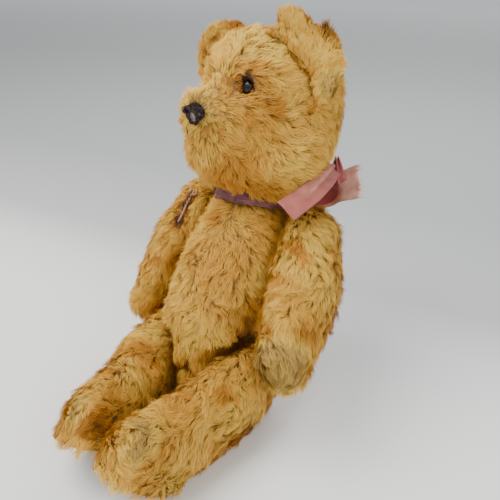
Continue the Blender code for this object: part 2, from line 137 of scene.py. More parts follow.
camera = linked("camera", bpy.data.cameras.new("camera"))
aim = Vector((math.cos(CAMERA_TURN) * AIM_RIGHT, math.sin(CAMERA_TURN) * AIM_RIGHT, AIM_HIGH))
away = Vector((
    math.sin(CAMERA_TURN) * math.cos(CAMERA_TILT),
    -math.cos(CAMERA_TURN) * math.cos(CAMERA_TILT),
    math.sin(CAMERA_TILT),
))
camera.location = aim + away * CAMERA_DISTANCE
camera.rotation_euler = away.to_track_quat("Z", "Y").to_euler()
camera.data.angle = CAMERA_VIEW
camera.data.clip_start, camera.data.clip_end = 0.02, 30
bpy.context.scene.camera = camera
print("camera", [round(x, 3) for x in camera.location])

# %% [markdown]
# Materials are made of a few nodes each. They could be wired up one by one, but most of them
# begin alike, so one helper adds a node with its values, and one starts a finish with the
# numbers that are the same all over it.


# %% Helpers for finishes
def add_node(tree, kind, values=None, **settings):
    node = tree.nodes.new(kind)
    for key, value in settings.items():
        setattr(node, key, value)
    for key, value in (values or {}).items():
        node.inputs[key].default_value = value
    return node


def start_finish(name, roughness=0.9, sheen=0.0, metallic=0.0):
    material = bpy.data.materials.new(name)
    material.use_nodes = True
    tree = material.node_tree
    shader = tree.nodes["Principled BSDF"]
    shader.inputs["Roughness"].default_value = roughness
    shader.inputs["Sheen Weight"].default_value = sheen
    shader.inputs["Metallic"].default_value = metallic
    return material, tree, shader


def colour_ramp(tree, stops):
    """A ramp through (place, colour) stops."""
    node = tree.nodes.new("ShaderNodeValToRGB")
    for _ in stops[2:]:
        node.color_ramp.elements.new(0.5)
    for element, (place, colour) in zip(node.color_ramp.elements, stops):
        element.position = place
        element.color = (*colour, 1)
    return node


def mottled(tree, scale, detail, stops):
    """Noise in the piece's own space through a ramp of colours."""
    place = add_node(tree, "ShaderNodeTexCoord")
    grain = add_node(tree, "ShaderNodeTexNoise", {"Scale": scale, "Detail": detail})
    ramp = colour_ramp(tree, stops)
    tree.links.new(place.outputs["Object"], grain.inputs["Vector"])
    tree.links.new(grain.outputs["Fac"], ramp.inputs["Fac"])
    return ramp, grain


def raised(tree, shader, height, strength, distance):
    bump = add_node(tree, "ShaderNodeBump", {"Strength": strength, "Distance": distance})
    tree.links.new(height, bump.inputs["Height"])
    tree.links.new(bump.outputs["Normal"], shader.inputs["Normal"])


# %% [markdown]
# The bear sits on a wide sheet of pale paper, which bends down behind it over a slanting edge
# and looks greyer beyond that. The bend could be modelled, but then it would throw shadows of
# its own in other views, so the sheet stays flat and a ramp square to the edge paints its
# light and shade as colour: near-white in front, a band of painted shade where the bend
# would be shaded, and paler again far off, as painted light where the lamps reach less.

# %% Table top
# Painted shade and light of the paper, by the distance square to the bend.
PAPER_PAINTED_SHADE = [
    (0.031, (0.87, 0.88, 0.865)),
    (0.053, (0.80, 0.81, 0.80)),
    (0.081, (0.55, 0.56, 0.555)),
    (0.16, (0.46, 0.475, 0.475)),
    (0.44, (0.57, 0.58, 0.575)),
    (1.0, (0.96, 0.97, 0.96)),
]
PAPER_EDGE_TURN = math.radians(12.4)
PAPER_NEAR, PAPER_REACH = -0.03, 3.17
PAPER_SIZE = 6.0

bm = bmesh.new()
bmesh.ops.create_grid(bm, x_segments=8, y_segments=8, size=PAPER_SIZE)
paper_mesh = bpy.data.meshes.new("table_paper")
bm.to_mesh(paper_mesh)
bm.free()
table_paper = linked("table_paper", paper_mesh)
paper_finish, tree, shader = start_finish("paper_painted_shade", roughness=0.75)
place = add_node(tree, "ShaderNodeTexCoord")
turned = add_node(tree, "ShaderNodeMapping")
turned.inputs["Rotation"].default_value = (0, 0, -PAPER_EDGE_TURN)
split = add_node(tree, "ShaderNodeSeparateXYZ")
reach = add_node(tree, "ShaderNodeMapRange", {"From Min": PAPER_NEAR, "From Max": PAPER_REACH})
tone_with_painted_light = colour_ramp(tree, PAPER_PAINTED_SHADE)
tree.links.new(place.outputs["Object"], turned.inputs["Vector"])
tree.links.new(turned.outputs["Vector"], split.inputs["Vector"])
tree.links.new(split.outputs["Y"], reach.inputs["Value"])
tree.links.new(reach.outputs["Result"], tone_with_painted_light.inputs["Fac"])
tree.links.new(tone_with_painted_light.outputs["Color"], shader.inputs["Base Color"])
paper_mesh.materials.append(paper_finish)
print("table top", table_paper.name, [round(x, 1) for x in table_paper.dimensions])

# %% [markdown]
# Three large soft lamps and a pale sky light the bear: the strongest from the front and its
# right, so that the shadow falls softly beyond its left leg. One small lamp would give a hard
# shadow, and the sky alone hardly any.

# %% Lamps and sky
LAMPS = {
    "front_lamp": ((-0.38, -0.5, 1.35), 1.1, 25.0, (1.0, 0.97, 0.92)),
    "side_lamp": ((1.1, -0.35, 0.8), 0.9, 8.0, (0.95, 0.97, 1.0)),
    "back_lamp": ((-0.2, 1.0, 1.1), 0.7, 5.0, (0.95, 0.98, 1.0)),
}
LAMPS_AIM = Vector((0, 0, 0.12))
SKY_COLOUR, SKY_STRENGTH = (0.95, 0.97, 1.0), 0.62

for name, (place, size, power, colour) in LAMPS.items():
    lamp = bpy.data.lights.new(name, "AREA")
    lamp.shape = "DISK"
    lamp.size, lamp.energy, lamp.color = size, power, colour
    stand = linked(name, lamp)
    stand.location = place
    stand.rotation_euler = (Vector(place) - LAMPS_AIM).to_track_quat("Z", "Y").to_euler()
sky = bpy.data.worlds.new("studio_sky")
sky.use_nodes = True
sky.node_tree.nodes["Background"].inputs["Color"].default_value = (*SKY_COLOUR, 1)
sky.node_tree.nodes["Background"].inputs["Strength"].default_value = SKY_STRENGTH
bpy.context.scene.world = sky
print("lamps", list(LAMPS))

# %% [markdown]
# Mohair plush is a woven cotton cloth with hairs standing in it. The hairs are painted dark and
# warm at the root, as painted shade deep in the pile, and pale at the tip, where light has bleached them.
# Each lock of hair also has a tone of its own. The tones could be painted in an image, but
# that blurs near to, so every hair carries a small map instead: across it runs the tone of
# its lock, and along it the way from root to tip.

# %% Finishes of the plush
RUST, ORANGE, GOLD, STRAW, GREY = 0.08, 0.27, 0.5, 0.74, 0.95
TONES = [
    (0.0, (0.035, 0.014, 0.006)),
    (RUST, (0.25, 0.090, 0.016)),
    (ORANGE, (0.68, 0.300, 0.035)),
    (GOLD, (0.85, 0.500, 0.085)),
    (STRAW, (0.98, 0.690, 0.125)),
    (GREY, (0.42, 0.250, 0.085)),
]
# Painted shade: each hair is darker towards its root, where the pile shades itself.
PAINTED_ROOT_SHADE = [(0.0, (0.30, 0.20, 0.10)), (0.35, (0.76, 0.68, 0.55)), (1.0, (1.0, 1.0, 1.0))]

mohair, tree, shader = start_finish("mohair", roughness=0.6, sheen=0.04)
shader.inputs["Sheen Roughness"].default_value = 0.4
shader.inputs["Sheen Tint"].default_value = (1.0, 0.82, 0.5, 1)
shader.inputs["Specular IOR Level"].default_value = 0.15
hair_map = add_node(tree, "ShaderNodeUVMap", uv_map="OFBake")
split = add_node(tree, "ShaderNodeSeparateXYZ")
tone_ramp, shade_ramp = colour_ramp(tree, TONES), colour_ramp(tree, PAINTED_ROOT_SHADE)
shaded = add_node(tree, "ShaderNodeMix", data_type="RGBA", blend_type="MULTIPLY")
shaded.inputs["Factor"].default_value = 1.0
tree.links.new(hair_map.outputs["UV"], split.inputs["Vector"])
tree.links.new(split.outputs["X"], tone_ramp.inputs["Fac"])
tree.links.new(split.outputs["Y"], shade_ramp.inputs["Fac"])
tree.links.new(tone_ramp.outputs["Color"], shaded.inputs["A"])
tree.links.new(shade_ramp.outputs["Color"], shaded.inputs["B"])
tree.links.new(shaded.outputs["Result"], shader.inputs["Base Color"])

# The backing cloth is brown, and kept dark so that where it shows between the locks it stands in for
# their shade: painted shade.
BACKING_AND_GAP_SHADE_STOPS = [(0.3, (0.20, 0.105, 0.035)), (0.5, (0.34, 0.19, 0.065)), (0.7, (0.26, 0.17, 0.08))]
plush_cloth, tree, shader = start_finish("plush_backing_cloth", roughness=0.95)
ramp, _ = mottled(tree, scale=45, detail=4, stops=BACKING_AND_GAP_SHADE_STOPS)
# Where a near-black mark lies the cloth goes near-black too: mostly painted shade, in sockets, hollows,
# the slit and the gaps between parts, and a few dark spots.
grime_and_shade = add_node(tree, "ShaderNodeAttribute", attribute_name="GrimeAndShade")
grime_and_shade_mix = add_node(tree, "ShaderNodeMix", data_type="RGBA", blend_type="MIX")
grime_and_shade_mix.inputs["A"].default_value = (0.012, 0.006, 0.003, 1)
tree.links.new(grime_and_shade.outputs["Fac"], grime_and_shade_mix.inputs["Factor"])
tree.links.new(ramp.outputs["Color"], grime_and_shade_mix.inputs["B"])
tree.links.new(grime_and_shade_mix.outputs["Result"], shader.inputs["Base Color"])
weave = add_node(tree, "ShaderNodeTexVoronoi", {"Scale": 900})
place = add_node(tree, "ShaderNodeTexCoord")
tree.links.new(place.outputs["Object"], weave.inputs["Vector"])
raised(tree, shader, weave.outputs["Distance"], strength=0.5, distance=0.0003)
print("plush finishes", mohair.name, plush_cloth.name)

# %% [markdown]
# The face is laid out round the middle of the nose. Its eyes and nose are where their solids
# are, and what is worn or sewn on the nose is placed across it and up it, as an embroiderer
# would mark it out. The nose has two lobes of felt, one larger, and both are worn bald.

# %% Places on the face
EYES = {side: middle(f"eye_{side}") for side in SIDES}
NOSE = middle("nose_stitching")
FACE_OUT = (NOSE - middle("head")).normalized()
ACROSS_FACE = Vector((0, 0, 1)).cross(FACE_OUT).normalized()
UP_FACE = FACE_OUT.cross(ACROSS_FACE)
NOSE_LOBES = [((6.2, -2.2), 5.4), ((-7.8, 1.6), 2.8)]
NOSE_WORN = [((7.2, -1.6), 3.9), ((-8.4, 1.6), 2.2)]
NOSE_FRONT = 3


def on_nose(across, up):
    return NOSE + (ACROSS_FACE * across + UP_FACE * up) * MM + FACE_OUT * NOSE_FRONT * MM


print("nose", [round(x, 4) for x in NOSE], "faces", [round(x, 2) for x in FACE_OUT])

# %% [markdown]
# Wear is what makes this bear this bear: rusty and grey stains, worn short pile on the
# muzzle, dark seams, and a slit on the right shoulder. Some marks are painted shade and light
# instead: near-black in the eye sockets, along the slit, in the hollow at the foot of the left
# ear, in the gaps between the parts and low on the left foot, a darker chin where it faces
# down, and, with its pale fur, a paler top of the left shoulder. It could be painted on by hand,
# but cloth and hair need it alike, so each mark is a short line on the bear with a reach round
# it, and says what tone or what length of hair it brings.

# %% Marks of wear, and of painted shade and light
Mark = namedtuple("Mark", "start end reach tone length")


def patch(place, reach, tone=None, length=None):
    return Mark(Vector(place) * MM, Vector(place) * MM, reach * MM, tone, length)


def streak(start, end, reach, tone=None, length=None):
    return Mark(Vector(start) * MM, Vector(end) * MM, reach * MM, tone, length)


SLIT_PLACES = ((-62, 9, 151), (-62, 17.5, 165.5), (-58.5, 25, 175), (-57, 31, 179))
SLIT = [Vector(place) * MM for place in SLIT_PLACES]
# DARK is the near-black tone: mostly painted shade in sockets, hollows and the slit, and a few small dark
# spots.
DARK, BARE = 0.0, 0.0
MARKS = {
    "head": [
        streak((-4, 8, 291), (2, 17, 303), 6, STRAW),
        streak((2, 17, 303), (16, 22, 303), 6, STRAW),
        patch((7, 12, 284), 9, 0.18, 4.5),
        patch((12, 18, 293), 7, 0.16, 4.5),
        *[Mark(eye, eye, 14 * MM, 0.16, 6.0) for eye in EYES.values()],
        # Near-black short pile round and above each eye: painted shade of the deep socket.
        *[Mark(eye, eye + Vector((-1, 0, 4)) * MM, 10 * MM, DARK, 1.2) for eye in EYES.values()],
        streak((-32, 10, 287), (-10, -6, 285), 17, None, 1.8),
        patch((-12, -18, 280), 12, None, 5.0),
        Mark(NOSE, NOSE + Vector((8, 22, 8)) * MM, 26 * MM, None, 6.0),
        Mark(NOSE, NOSE, 17 * MM, 0.9, 3.0),
        *[Mark(on_nose(*at), on_nose(*at), (size + 1.5) * MM, RUST, BARE) for at, size in NOSE_LOBES],
        patch((3, -12, 262), 6, ORANGE, BARE),
        streak((10, 33, 316), (40, 38, 316), 26, STRAW),
        streak((-20, 12, 310), (10, 20, 312), 16, STRAW),
        patch((24, 11, 263), 9, ORANGE),
        patch((38, 22, 268), 12, 0.2),
        patch((57, 36, 255), 12, ORANGE),
        patch((8, -3, 222), 10, 0.16),
        streak((-20, -13, 248), (-21, -13, 240), 4, 0.03, 4.5),
        streak((-13, -13, 238), (-1, -12, 225), 4, 0.03, 4.5),
        # A darker, warmer chin: painted shade under the chin, which faces down.
        streak((30, 20, 205), (0, 10, 205), 14, 0.32),
        patch((14, 3, 219), 27, 0.3),
        # Near-black short pile in the hollow at the foot of the left ear: painted shade.
        streak((49, 46, 290), (52, 44, 276), 6, DARK, 2.5),
        streak((33, 45, 316), (48, 46, 291), 3, 0.2, 5.0),
    ],
    "ear_left": [
        streak((55, 61, 332), (67, 60, 314), 6, 0.3, 5.0),
        streak((18, 41, 325), (30, 46, 314), 11, None, 3.0),
        patch((57, 53, 303), 9, STRAW),
        patch((67, 52, 284), 16, 0.86, 6.0),
        # Near-black short pile in the hollow at the foot of the ear: painted shade.
        streak((49, 47, 290), (53, 44, 276), 6, DARK, 2.5),
        streak((33, 46, 316), (48, 47, 291), 3.5, 0.2, 4.0),
    ],
    "ear_right": [
        streak((-48, 58, 306), (-62, 58, 291), 7, RUST, 5.0),
        patch((-32, 60, 321), 14, ORANGE),
    ],
    "torso": [
        patch((14, -14, 152), 36, 0.42),
        patch((-21, 1, 163), 3, DARK, 4.0),
        patch((-9, 7, 175), 13, ORANGE),
        patch((2, -12, 158), 10, ORANGE),
        patch((42, 3, 136), 11, 0.88, 8.0),
        # Near-black short pile between the legs: painted shade where they meet the body.
        patch((-4, -56, 50), 12, 0.02, 5.0),
        patch((4, -50, 60), 8, 0.02, 5.0),
        # Darker rust down the side of the chest under the left arm: painted shade in the gap.
        streak((52, 8, 150), (44, -20, 90), 12, 0.12),
        # Near-black short pile where the left leg meets the body: painted shade.
        patch((38, -14, 84), 14, 0.02, 5.0),
    ],
    "arm_left": [
        # Pale fur, and painted light, on the top of the left shoulder.
        patch((73, 12, 174), 30, 0.78),
        patch((102, -46, 106), 34, 0.91),
        # Pale fur, and painted light, along the top of the left shoulder and arm.
        patch((80, 26, 180), 22, STRAW),
        streak((88, 4, 166), (98, 2, 160), 12, STRAW),
        streak((66, 16, 171), (80, 10, 168), 13, ORANGE),
        patch((82, -40, 128), 12, RUST),
        streak((112, -50, 101), (96, -60, 108), 17, 0.87, 9.0),
        streak((70, -2, 165), (98, 6, 160), 4, 0.2, 7.0),
        # Near-black short pile on the inside of the arm: painted shade in the gap at the chest.
        patch((50, 0, 120), 12, 0.03, 5.0),
    ],
    "arm_right": [
        *[Mark(a, b, 15 * MM, None, 5.0) for a, b in zip(SLIT, SLIT[1:])],
        # Near-black short pile along the slit: painted shade for the dark of the opening.
        *[Mark(a, b, 12 * MM, DARK, 1.5) for a, b in zip(SLIT[:3], SLIT[1:3])],
        Mark(SLIT[2], SLIT[3], 6 * MM, RUST, 3.0),
        patch((-68, 1, 138), 10, 0.2),
        streak((-74, -16, 101), (-60, -22, 104), 5, RUST, 6.0),
        patch((-67, -9, 68), 15, 0.12, 8.0),
    ],
    "leg_left": [
        patch((47, -85, 74), 8, 0.14),
        patch((65, -60, 69), 13, ORANGE),
        streak((58, -143, 71), (54, -132, 76), 18, 0.9, 9.0),
        streak((56, -103, 72), (70, -101, 60), 6, RUST, 7.0),
        patch((70, -100, 60), 12, 0.18),
        patch((66, -115, 62), 2.5, DARK, 5.0),
        patch((72, -40, 27), 12, RUST),
        # Very dark short pile low on the left foot: painted shade where it comes near the table.
        streak((76, -134, 30), (80, -122, 38), 7, 0.04, 7.0),
        streak((62, -160, 38), (74, -148, 36), 4, 0.05, 6.0),
    ],
    "leg_right": [
        streak((-13, -148, 76), (-6, -150, 72), 16, 0.9, 9.0),
        patch((-4, -146, 77), 3, DARK, 5.0),
        patch((-24, -69, 74), 13, ORANGE),
        patch((-26, -105, 73), 12, ORANGE),
        patch((6, -143, 60), 17, 0.18),
    ],
}
print("marks of wear", {node: len(marks) for node, marks in MARKS.items()})

# %% How a mark fades out
MARK_CORE = 0.45


def off_line(places, start, end):
    """How far each place is from the stretch between two points."""
    start, way = np.array(start), np.array(end - start)
    span = max(way @ way, 1e-12)
    share = np.clip((places - start) @ way / span, 0, 1)
    return np.linalg.norm(places - start - share[:, None] * way, axis=1)


def worn(places, marks, values, field):
    """Blends each mark's tone or length into the values given."""
    for mark in marks:
        brought = getattr(mark, field)
        if brought is None:
            continue
        far = off_line(places, mark.start, mark.end)
        share = 1 - soft_step(far, MARK_CORE * mark.reach, mark.reach)
        values = values + (brought - values) * share
    return values


# %% [markdown]
# Under the pile is the stuffed cloth body of each part. Its CAD solid is the part's outside
# with the pile on, so the cloth is a copy of that solid drawn in by the depth of the pile. The
# solids have pockets for the joint discs, and those are filled with the discs' own solids
# before the copy gets an even mesh. A cloth simulation could swell such a body, but its fine
# folds would be lost under the hair. Old stuffing is lumpy and pressed in here and there, so
# the cloth is dented and made uneven in code.

# %% Solids made into even skins
WELD = 0.01 * MM
SMOOTH_SHARE = 0.5


def welded(nodes):
    """The solids of some nodes as one bmesh."""
    bm = bmesh.new()
    for node in nodes:
        bm.from_mesh(frame["nodes"][node].data)
    bmesh.ops.remove_doubles(bm, verts=bm.verts, dist=WELD)
    return bm


def tree_of(nodes):
    """The solids of some nodes, ready for finding the nearest place on them."""
    bm = welded(nodes)
    tree = BVHTree.FromBMesh(bm)
    bm.free()
    return tree


def skin_of(piece):
    """A finished piece, ready for finding the nearest place on it."""
    bm = bmesh.new()
    bm.from_mesh(piece.data)
    tree = BVHTree.FromBMesh(bm)
    bm.free()
    return tree


def keep_outside(bm):
    """Keeps the largest island of faces, the outside."""
    left, outside = set(bm.faces), []
    while left:
        island = [left.pop()]
        for face in island:
            for edge in face.edges:
                for other in edge.link_faces:
                    if other in left:
                        left.remove(other)
                        island.append(other)
        outside = max(outside, island, key=len)
    bmesh.ops.delete(bm, geom=list(set(bm.faces) - set(outside)), context="FACES")


def even_mesh(bm, name, size):
    """The same shape in even small squares, made into one skin."""
    mesh = bpy.data.meshes.new(name)
    bm.to_mesh(mesh)
    bm.free()
    shell = linked(name, mesh)
    remesh = shell.modifiers.new("even", "REMESH")
    remesh.mode, remesh.voxel_size = "VOXEL", size
    depsgraph = bpy.context.evaluated_depsgraph_get()
    even = bmesh.new()
    even.from_object(shell, depsgraph)
    bpy.data.objects.remove(shell)
    bpy.data.meshes.remove(mesh)
    return even


def smoothed(bm, times):
    """Evens out the small steps of a skin."""
    for _ in range(times):
        bmesh.ops.smooth_vert(
            bm, verts=bm.verts, factor=SMOOTH_SHARE, use_axis_x=True, use_axis_y=True, use_axis_z=True
        )


# %% Dents and thin places of the cloth
PAD_MARGIN = (1 * MM, 7.0 * MM)
EYE_MARGIN, EYE_LEAST = (8 * MM, 20 * MM), 0.1
TABLE_MARGIN, TABLE_LEAST = (1 * MM, 10 * MM), 0.15
DENT_CORE = 0.1
DENTS = {
    "head": [
        ((-21, 2, 287), 20, (6, 10, -4)),
        ((-32, 12, 286), 16, (6, 7, 0)),
        ((-12, -15, 279), 13, (-1, -2, 4)),
    ],
    "ear_left": [
        ((56, 61, 336), 24, (-3, -2, -8)),
        ((32, 48, 334), 12, (-4, -2, 2)),
        ((20, 42, 324), 10, (6, 2, 1)),
    ],
}


def pressed(place, node):
    """How the years have pushed the cloth of a part about, near a few places."""
    move = Vector((0, 0, 0))
    for dent, reach, most in DENTS.get(node, []):
        far = (place - Vector(dent) * MM).length
        move += Vector(most) * MM * (1 - soft_step(far, DENT_CORE * reach * MM, reach * MM))
    return move


def drawn_in(place, depth, pad):
    """How far the cloth lies inside the solid at a place: less by the pads, the eyes and the table."""
    if pad:
        depth *= soft_step(pad.find_nearest(place)[3], *PAD_MARGIN)
    for eye in EYES.values():
        depth *= EYE_LEAST + (1 - EYE_LEAST) * soft_step((place - eye).length, *EYE_MARGIN)
    depth *= TABLE_LEAST + (1 - TABLE_LEAST) * soft_step(place.z, *TABLE_MARGIN)
    return depth


print("dents", {node: len(dents) for node, dents in DENTS.items()})

# %% Cloth bodies
CLOTH_MESH = 2.6 * MM
CLOTH_SMOOTH_FIRST, CLOTH_SMOOTH_LAST = 4, 2
GRIME_AND_SHADE_TONE = 0.05
LUMPS = [(24 * MM, 1.7 * MM), (9 * MM, 0.45 * MM)]
PILE_DEPTH = {"head": 4.5 * MM, "torso": 5.5 * MM, "arm": 5.5 * MM, "leg": 5.5 * MM, "ear": 2.2 * MM}
JOINTS = ["neck", *[f"{joint}_{side}" for joint in ("shoulder", "hip") for side in SIDES]]
JOINT_FILL = {
    "head": ["neck_limb"],
    "torso": [f"{joint}_torso" for joint in JOINTS],
    **{f"arm_{side}": [f"shoulder_{side}_limb"] for side in SIDES},
    **{f"leg_{side}": [f"hip_{side}_limb"] for side in SIDES},
}
PADS = {
    **{f"arm_{side}": f"paw_pad_{side}" for side in SIDES},
    **{f"leg_{side}": f"foot_pad_{side}" for side in SIDES},
}
PLUSH = ["head", "torso", *PADS, "ear_left", "ear_right"]


def darkened_by_grime_and_shade(piece, node):
    """Notes on a cloth where a near-black mark lies, for its finish to darken: painted shade in the eye
    sockets, the slit, the hollow by the left ear, the gaps between parts and low on the left foot, and a
    few dark spots and lines.
    """
    places = np.array([v.co for v in piece.data.vertices])
    marks = [mark for mark in MARKS.get(node, []) if mark.tone is not None and mark.tone < GRIME_AND_SHADE_TONE]
    unmarked = worn(places, marks, np.ones(len(places)), "tone")
    grime_and_shade = piece.data.attributes.new("GrimeAndShade", "FLOAT", "POINT")
    grime_and_shade.data.foreach_set("value", unmarked.astype(np.float32))


def cloth_body(node):
    """The stuffed cloth of a part, drawn in from its solid, dented and lumpy."""
    discs = [f"{half}_{part}" for half in JOINT_FILL.get(node, []) for part in ("disc", "washer")]
    bm = even_mesh(welded([node, *discs]), node, CLOTH_MESH)
    keep_outside(bm)
    smoothed(bm, CLOTH_SMOOTH_FIRST)
    bm.normal_update()
    depth = PILE_DEPTH[node.split("_")[0]]
    pad = tree_of([PADS[node]]) if node in PADS else None
    moves = []
    for v in bm.verts:
        lift = -drawn_in(v.co, depth, pad)
        if v.co.z > TABLE_MARGIN[1]:
            lift += waves(v.co, LUMPS)
        moves.append(v.normal * lift + pressed(v.co, node))
    for v, move in zip(bm.verts, moves):
        v.co += move
    smoothed(bm, CLOTH_SMOOTH_LAST)
    if bm.calc_volume(signed=True) < 0:
        bmesh.ops.reverse_faces(bm, faces=bm.faces)
    made = new_piece(f"{node}_cloth", bm, plush_cloth, node)
    darkened_by_grime_and_shade(made, node)
    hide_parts(node)
    return made


cloth = {node: cloth_body(node) for node in PLUSH}
print("cloth faces", {node: len(made.data.polygons) for node, made in cloth.items()})

# %% [markdown]
# The way the hair lies is combed by a simple rule for each part: back from the nose on the
# head, down and out from the parting on the chest, and along the limbs. It could be combed
# lock by lock with a brush, but a rule is short and can be read. Where a rule points through
# the skin it is laid flat on it later.

# %% Combing
COMBED_FROM = 4
BACK_OF_HEAD = (80 * MM, 130 * MM)
DOWN_BACK, DOWN_CHIN, DOWN_CHEST = 1.1, 0.35, 0.5
CHEST_TOP, CHEST_BACK = Vector((0, 20, 185)) * MM, -40 * MM
PARTING_WIDE, PARTING_PUSH = 16 * MM, 0.75
LIMB_SPREAD, EAR_ROOT_DEEP = 0.5, 0.6


def unit(ways):
    return ways / np.maximum(np.linalg.norm(ways, axis=1, keepdims=True), 1e-9)


def comb_head(places):
    """Back from the nose, and down at the back of the head."""
    ways = places - np.array(NOSE + FACE_OUT * COMBED_FROM * MM)
    far = np.linalg.norm(ways, axis=1)
    ways = unit(ways)
    ways[:, 2] -= DOWN_BACK * soft_step(far, *BACK_OF_HEAD)
    ways[:, 2] -= DOWN_CHIN * (places[:, 2] < NOSE.z)
    return ways


def comb_torso(places):
    """Down and out from the top of the chest, with a parting down the middle of the front."""
    ways = unit(places - np.array(CHEST_TOP))
    ways[:, 2] -= DOWN_CHEST
    front = soft_step(-places[:, 1], CHEST_BACK, 0)
    ways[:, 0] += PARTING_PUSH * front * np.tanh(places[:, 0] / PARTING_WIDE)
    return ways


def comb_limb(node):
    """From the joint to the far end, spreading a little over the end."""
    joint = next(j for j in frame["joints"] if j["child"] == body_holding(node))
    root, end = np.array(joint["pos_m"]), np.array(middle(PADS[node]))
    down_limb = (end - root) / np.linalg.norm(end - root)
    return lambda places: unit(places - root) * LIMB_SPREAD + down_limb


def comb_ear(node):
    """From the foot of the ear to its rim."""
    low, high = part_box(node)
    root = np.array(middle(node) - Vector((0, 0, (high.z - low.z) * EAR_ROOT_DEEP)))
    return lambda places: unit(places - root)


COMBS = {
    "head": comb_head,
    "torso": comb_torso,
    **{node: comb_limb(node) for node in PADS},
    "ear_left": comb_ear("ear_left"),
    "ear_right": comb_ear("ear_right"),
}
print("combed", list(COMBS))

# %% [markdown]
# Real mohair lies in locks: some twenty hairs that start apart and meet at their tips. Hair
# particles would draw them but leave no mesh, so the hairs are thin tapered blades, five
# corners each, worked out all at once as arrays. Each lock has a leading hair: the others take
# its turn, lift, curl and tone, and bend towards it. Where another part lies close, the pile
# is short, as it is on a bear whose arms have rubbed there for years.

# %% How much pile each part has
Pile = namedtuple("Pile", "hairs length stage")
PILES = {
    "head": Pile(66000, 11.5, 1),
    "torso": Pile(66000, 11.5, 2),
    "arm_left": Pile(46000, 12.5, 3),
    "arm_right": Pile(40000, 12.0, 4),
    "leg_left": Pile(58000, 12.0, 5),
    "leg_right": Pile(52000, 12.0, 6),
    "ear_left": Pile(15000, 8.0, 7),
    "ear_right": Pile(11000, 7.5, 8),
}
print("hairs wanted", sum(pile.hairs for pile in PILES.values()))


# %% Places for hairs
def scatter(piece, count, dice):
    """Evenly spread places on a piece with the skin's way out at each."""
    mesh = piece.data
    mesh.calc_loop_triangles()
    corners = np.empty(len(mesh.loop_triangles) * 3, int)
    mesh.loop_triangles.foreach_get("vertices", corners)
    spots = np.empty(len(mesh.vertices) * 3)
    mesh.vertices.foreach_get("co", spots)
    outs = np.empty(len(mesh.vertices) * 3)
    mesh.vertices.foreach_get("normal", outs)
    a, b, c = corners.reshape(-1, 3).T
    spots, outs = spots.reshape(-1, 3), outs.reshape(-1, 3)
    area = np.linalg.norm(np.cross(spots[b] - spots[a], spots[c] - spots[a]), axis=1)
    pick = dice.choice(len(a), count, p=area / area.sum())
    u, v = dice.random((2, count, 1))
    over = u + v > 1
    u, v = np.where(over, 1 - u, u), np.where(over, 1 - v, v)
    a, b, c = a[pick], b[pick], c[pick]
    places = spots[a] * (1 - u - v) + spots[b] * u + spots[c] * v
    return places, unit(outs[a] * (1 - u - v) + outs[b] * u + outs[c] * v)


# %% Locks of hair
HAIRS_PER_LOCK = 22
LIFT, LIFT_SPREAD = math.radians(22), math.radians(6)
SWIRLS = [
    (30 * MM, math.radians(75), Vector((0, 1.7, 4.1))),
    (11 * MM, math.radians(50), Vector((7.3, 1.7, 4.1))),
]
CURL, CURL_WIDE, CURL_SHIFT = math.radians(38), 14 * MM, Vector((3, 9, 5))
LOCK_TURN, LOCK_CURL = math.radians(9), math.radians(10)
TONE_DRIFT = [(33 * MM, 0.30), (8 * MM, 0.13)]
LOCK_TONE, LOCK_LENGTH, LOCK_LENGTH_LIMITS = 0.035, 0.14, (0.6, 1.3)


def locks_of(roots):
    """The leading hair of every lock, and for every hair the lock whose leader is nearest."""
    leads = np.arange(0, len(roots), HAIRS_PER_LOCK)
    finder = KDTree(len(leads))
    for k, lead in enumerate(leads):
        finder.insert(roots[lead], k)
    finder.balance()
    return leads, np.array([finder.find(p)[1] for p in roots])


def turned_about(ways, axes, angles):
    """Ways turned about axes square to them."""
    angles = angles[:, None]
    return ways * np.cos(angles) + np.cross(axes, ways) * np.sin(angles)


def lock_values(places, dice):
    """For each lock: its turn, curl, lift, tone shift and length share."""
    count = len(places)
    turn = np.zeros(count)
    for wide, most, shift in SWIRLS:
        turn += [noise.noise(Vector(p) / wide + shift) * most for p in places]
    turn += dice.normal(0, LOCK_TURN, count)
    curl = np.array([noise.noise(Vector(p) / CURL_WIDE + CURL_SHIFT) for p in places]) * 2 * CURL
    curl += dice.normal(0, LOCK_CURL, count)
    lift = dice.normal(LIFT, LIFT_SPREAD, count)
    tone = np.array([waves(Vector(p), TONE_DRIFT) for p in places])
    tone += dice.normal(0, LOCK_TONE, count)
    share = np.clip(dice.normal(1, LOCK_LENGTH, count), *LOCK_LENGTH_LIMITS)
    return turn, curl, lift, tone, share


# %% Blades of hair
# A blade has two corners at the root, two in the middle and one at the tip. Its faces are a
# square and a triangle, and the rows below say for each of their seven corners which one of
# the blade's it is, on which side of the blade it lies and how far along the map it is.
BLADE_CORNERS, BLADE_MIDDLE = 5, 0.9
FACE_CORNERS = np.array([0, 1, 3, 2, 2, 3, 4])
FACE_SIDES = np.array([-1, 1, 1, -1, -1, 1, 0])
FACE_ALONG = np.array([0.02, 0.02, 0.5, 0.5, 0.5, 0.5, 0.98])
FACE_STARTS = np.array([0, 4])
MAP_LIMITS, MAP_HALF_WIDTH = (0.015, 0.985), 0.008


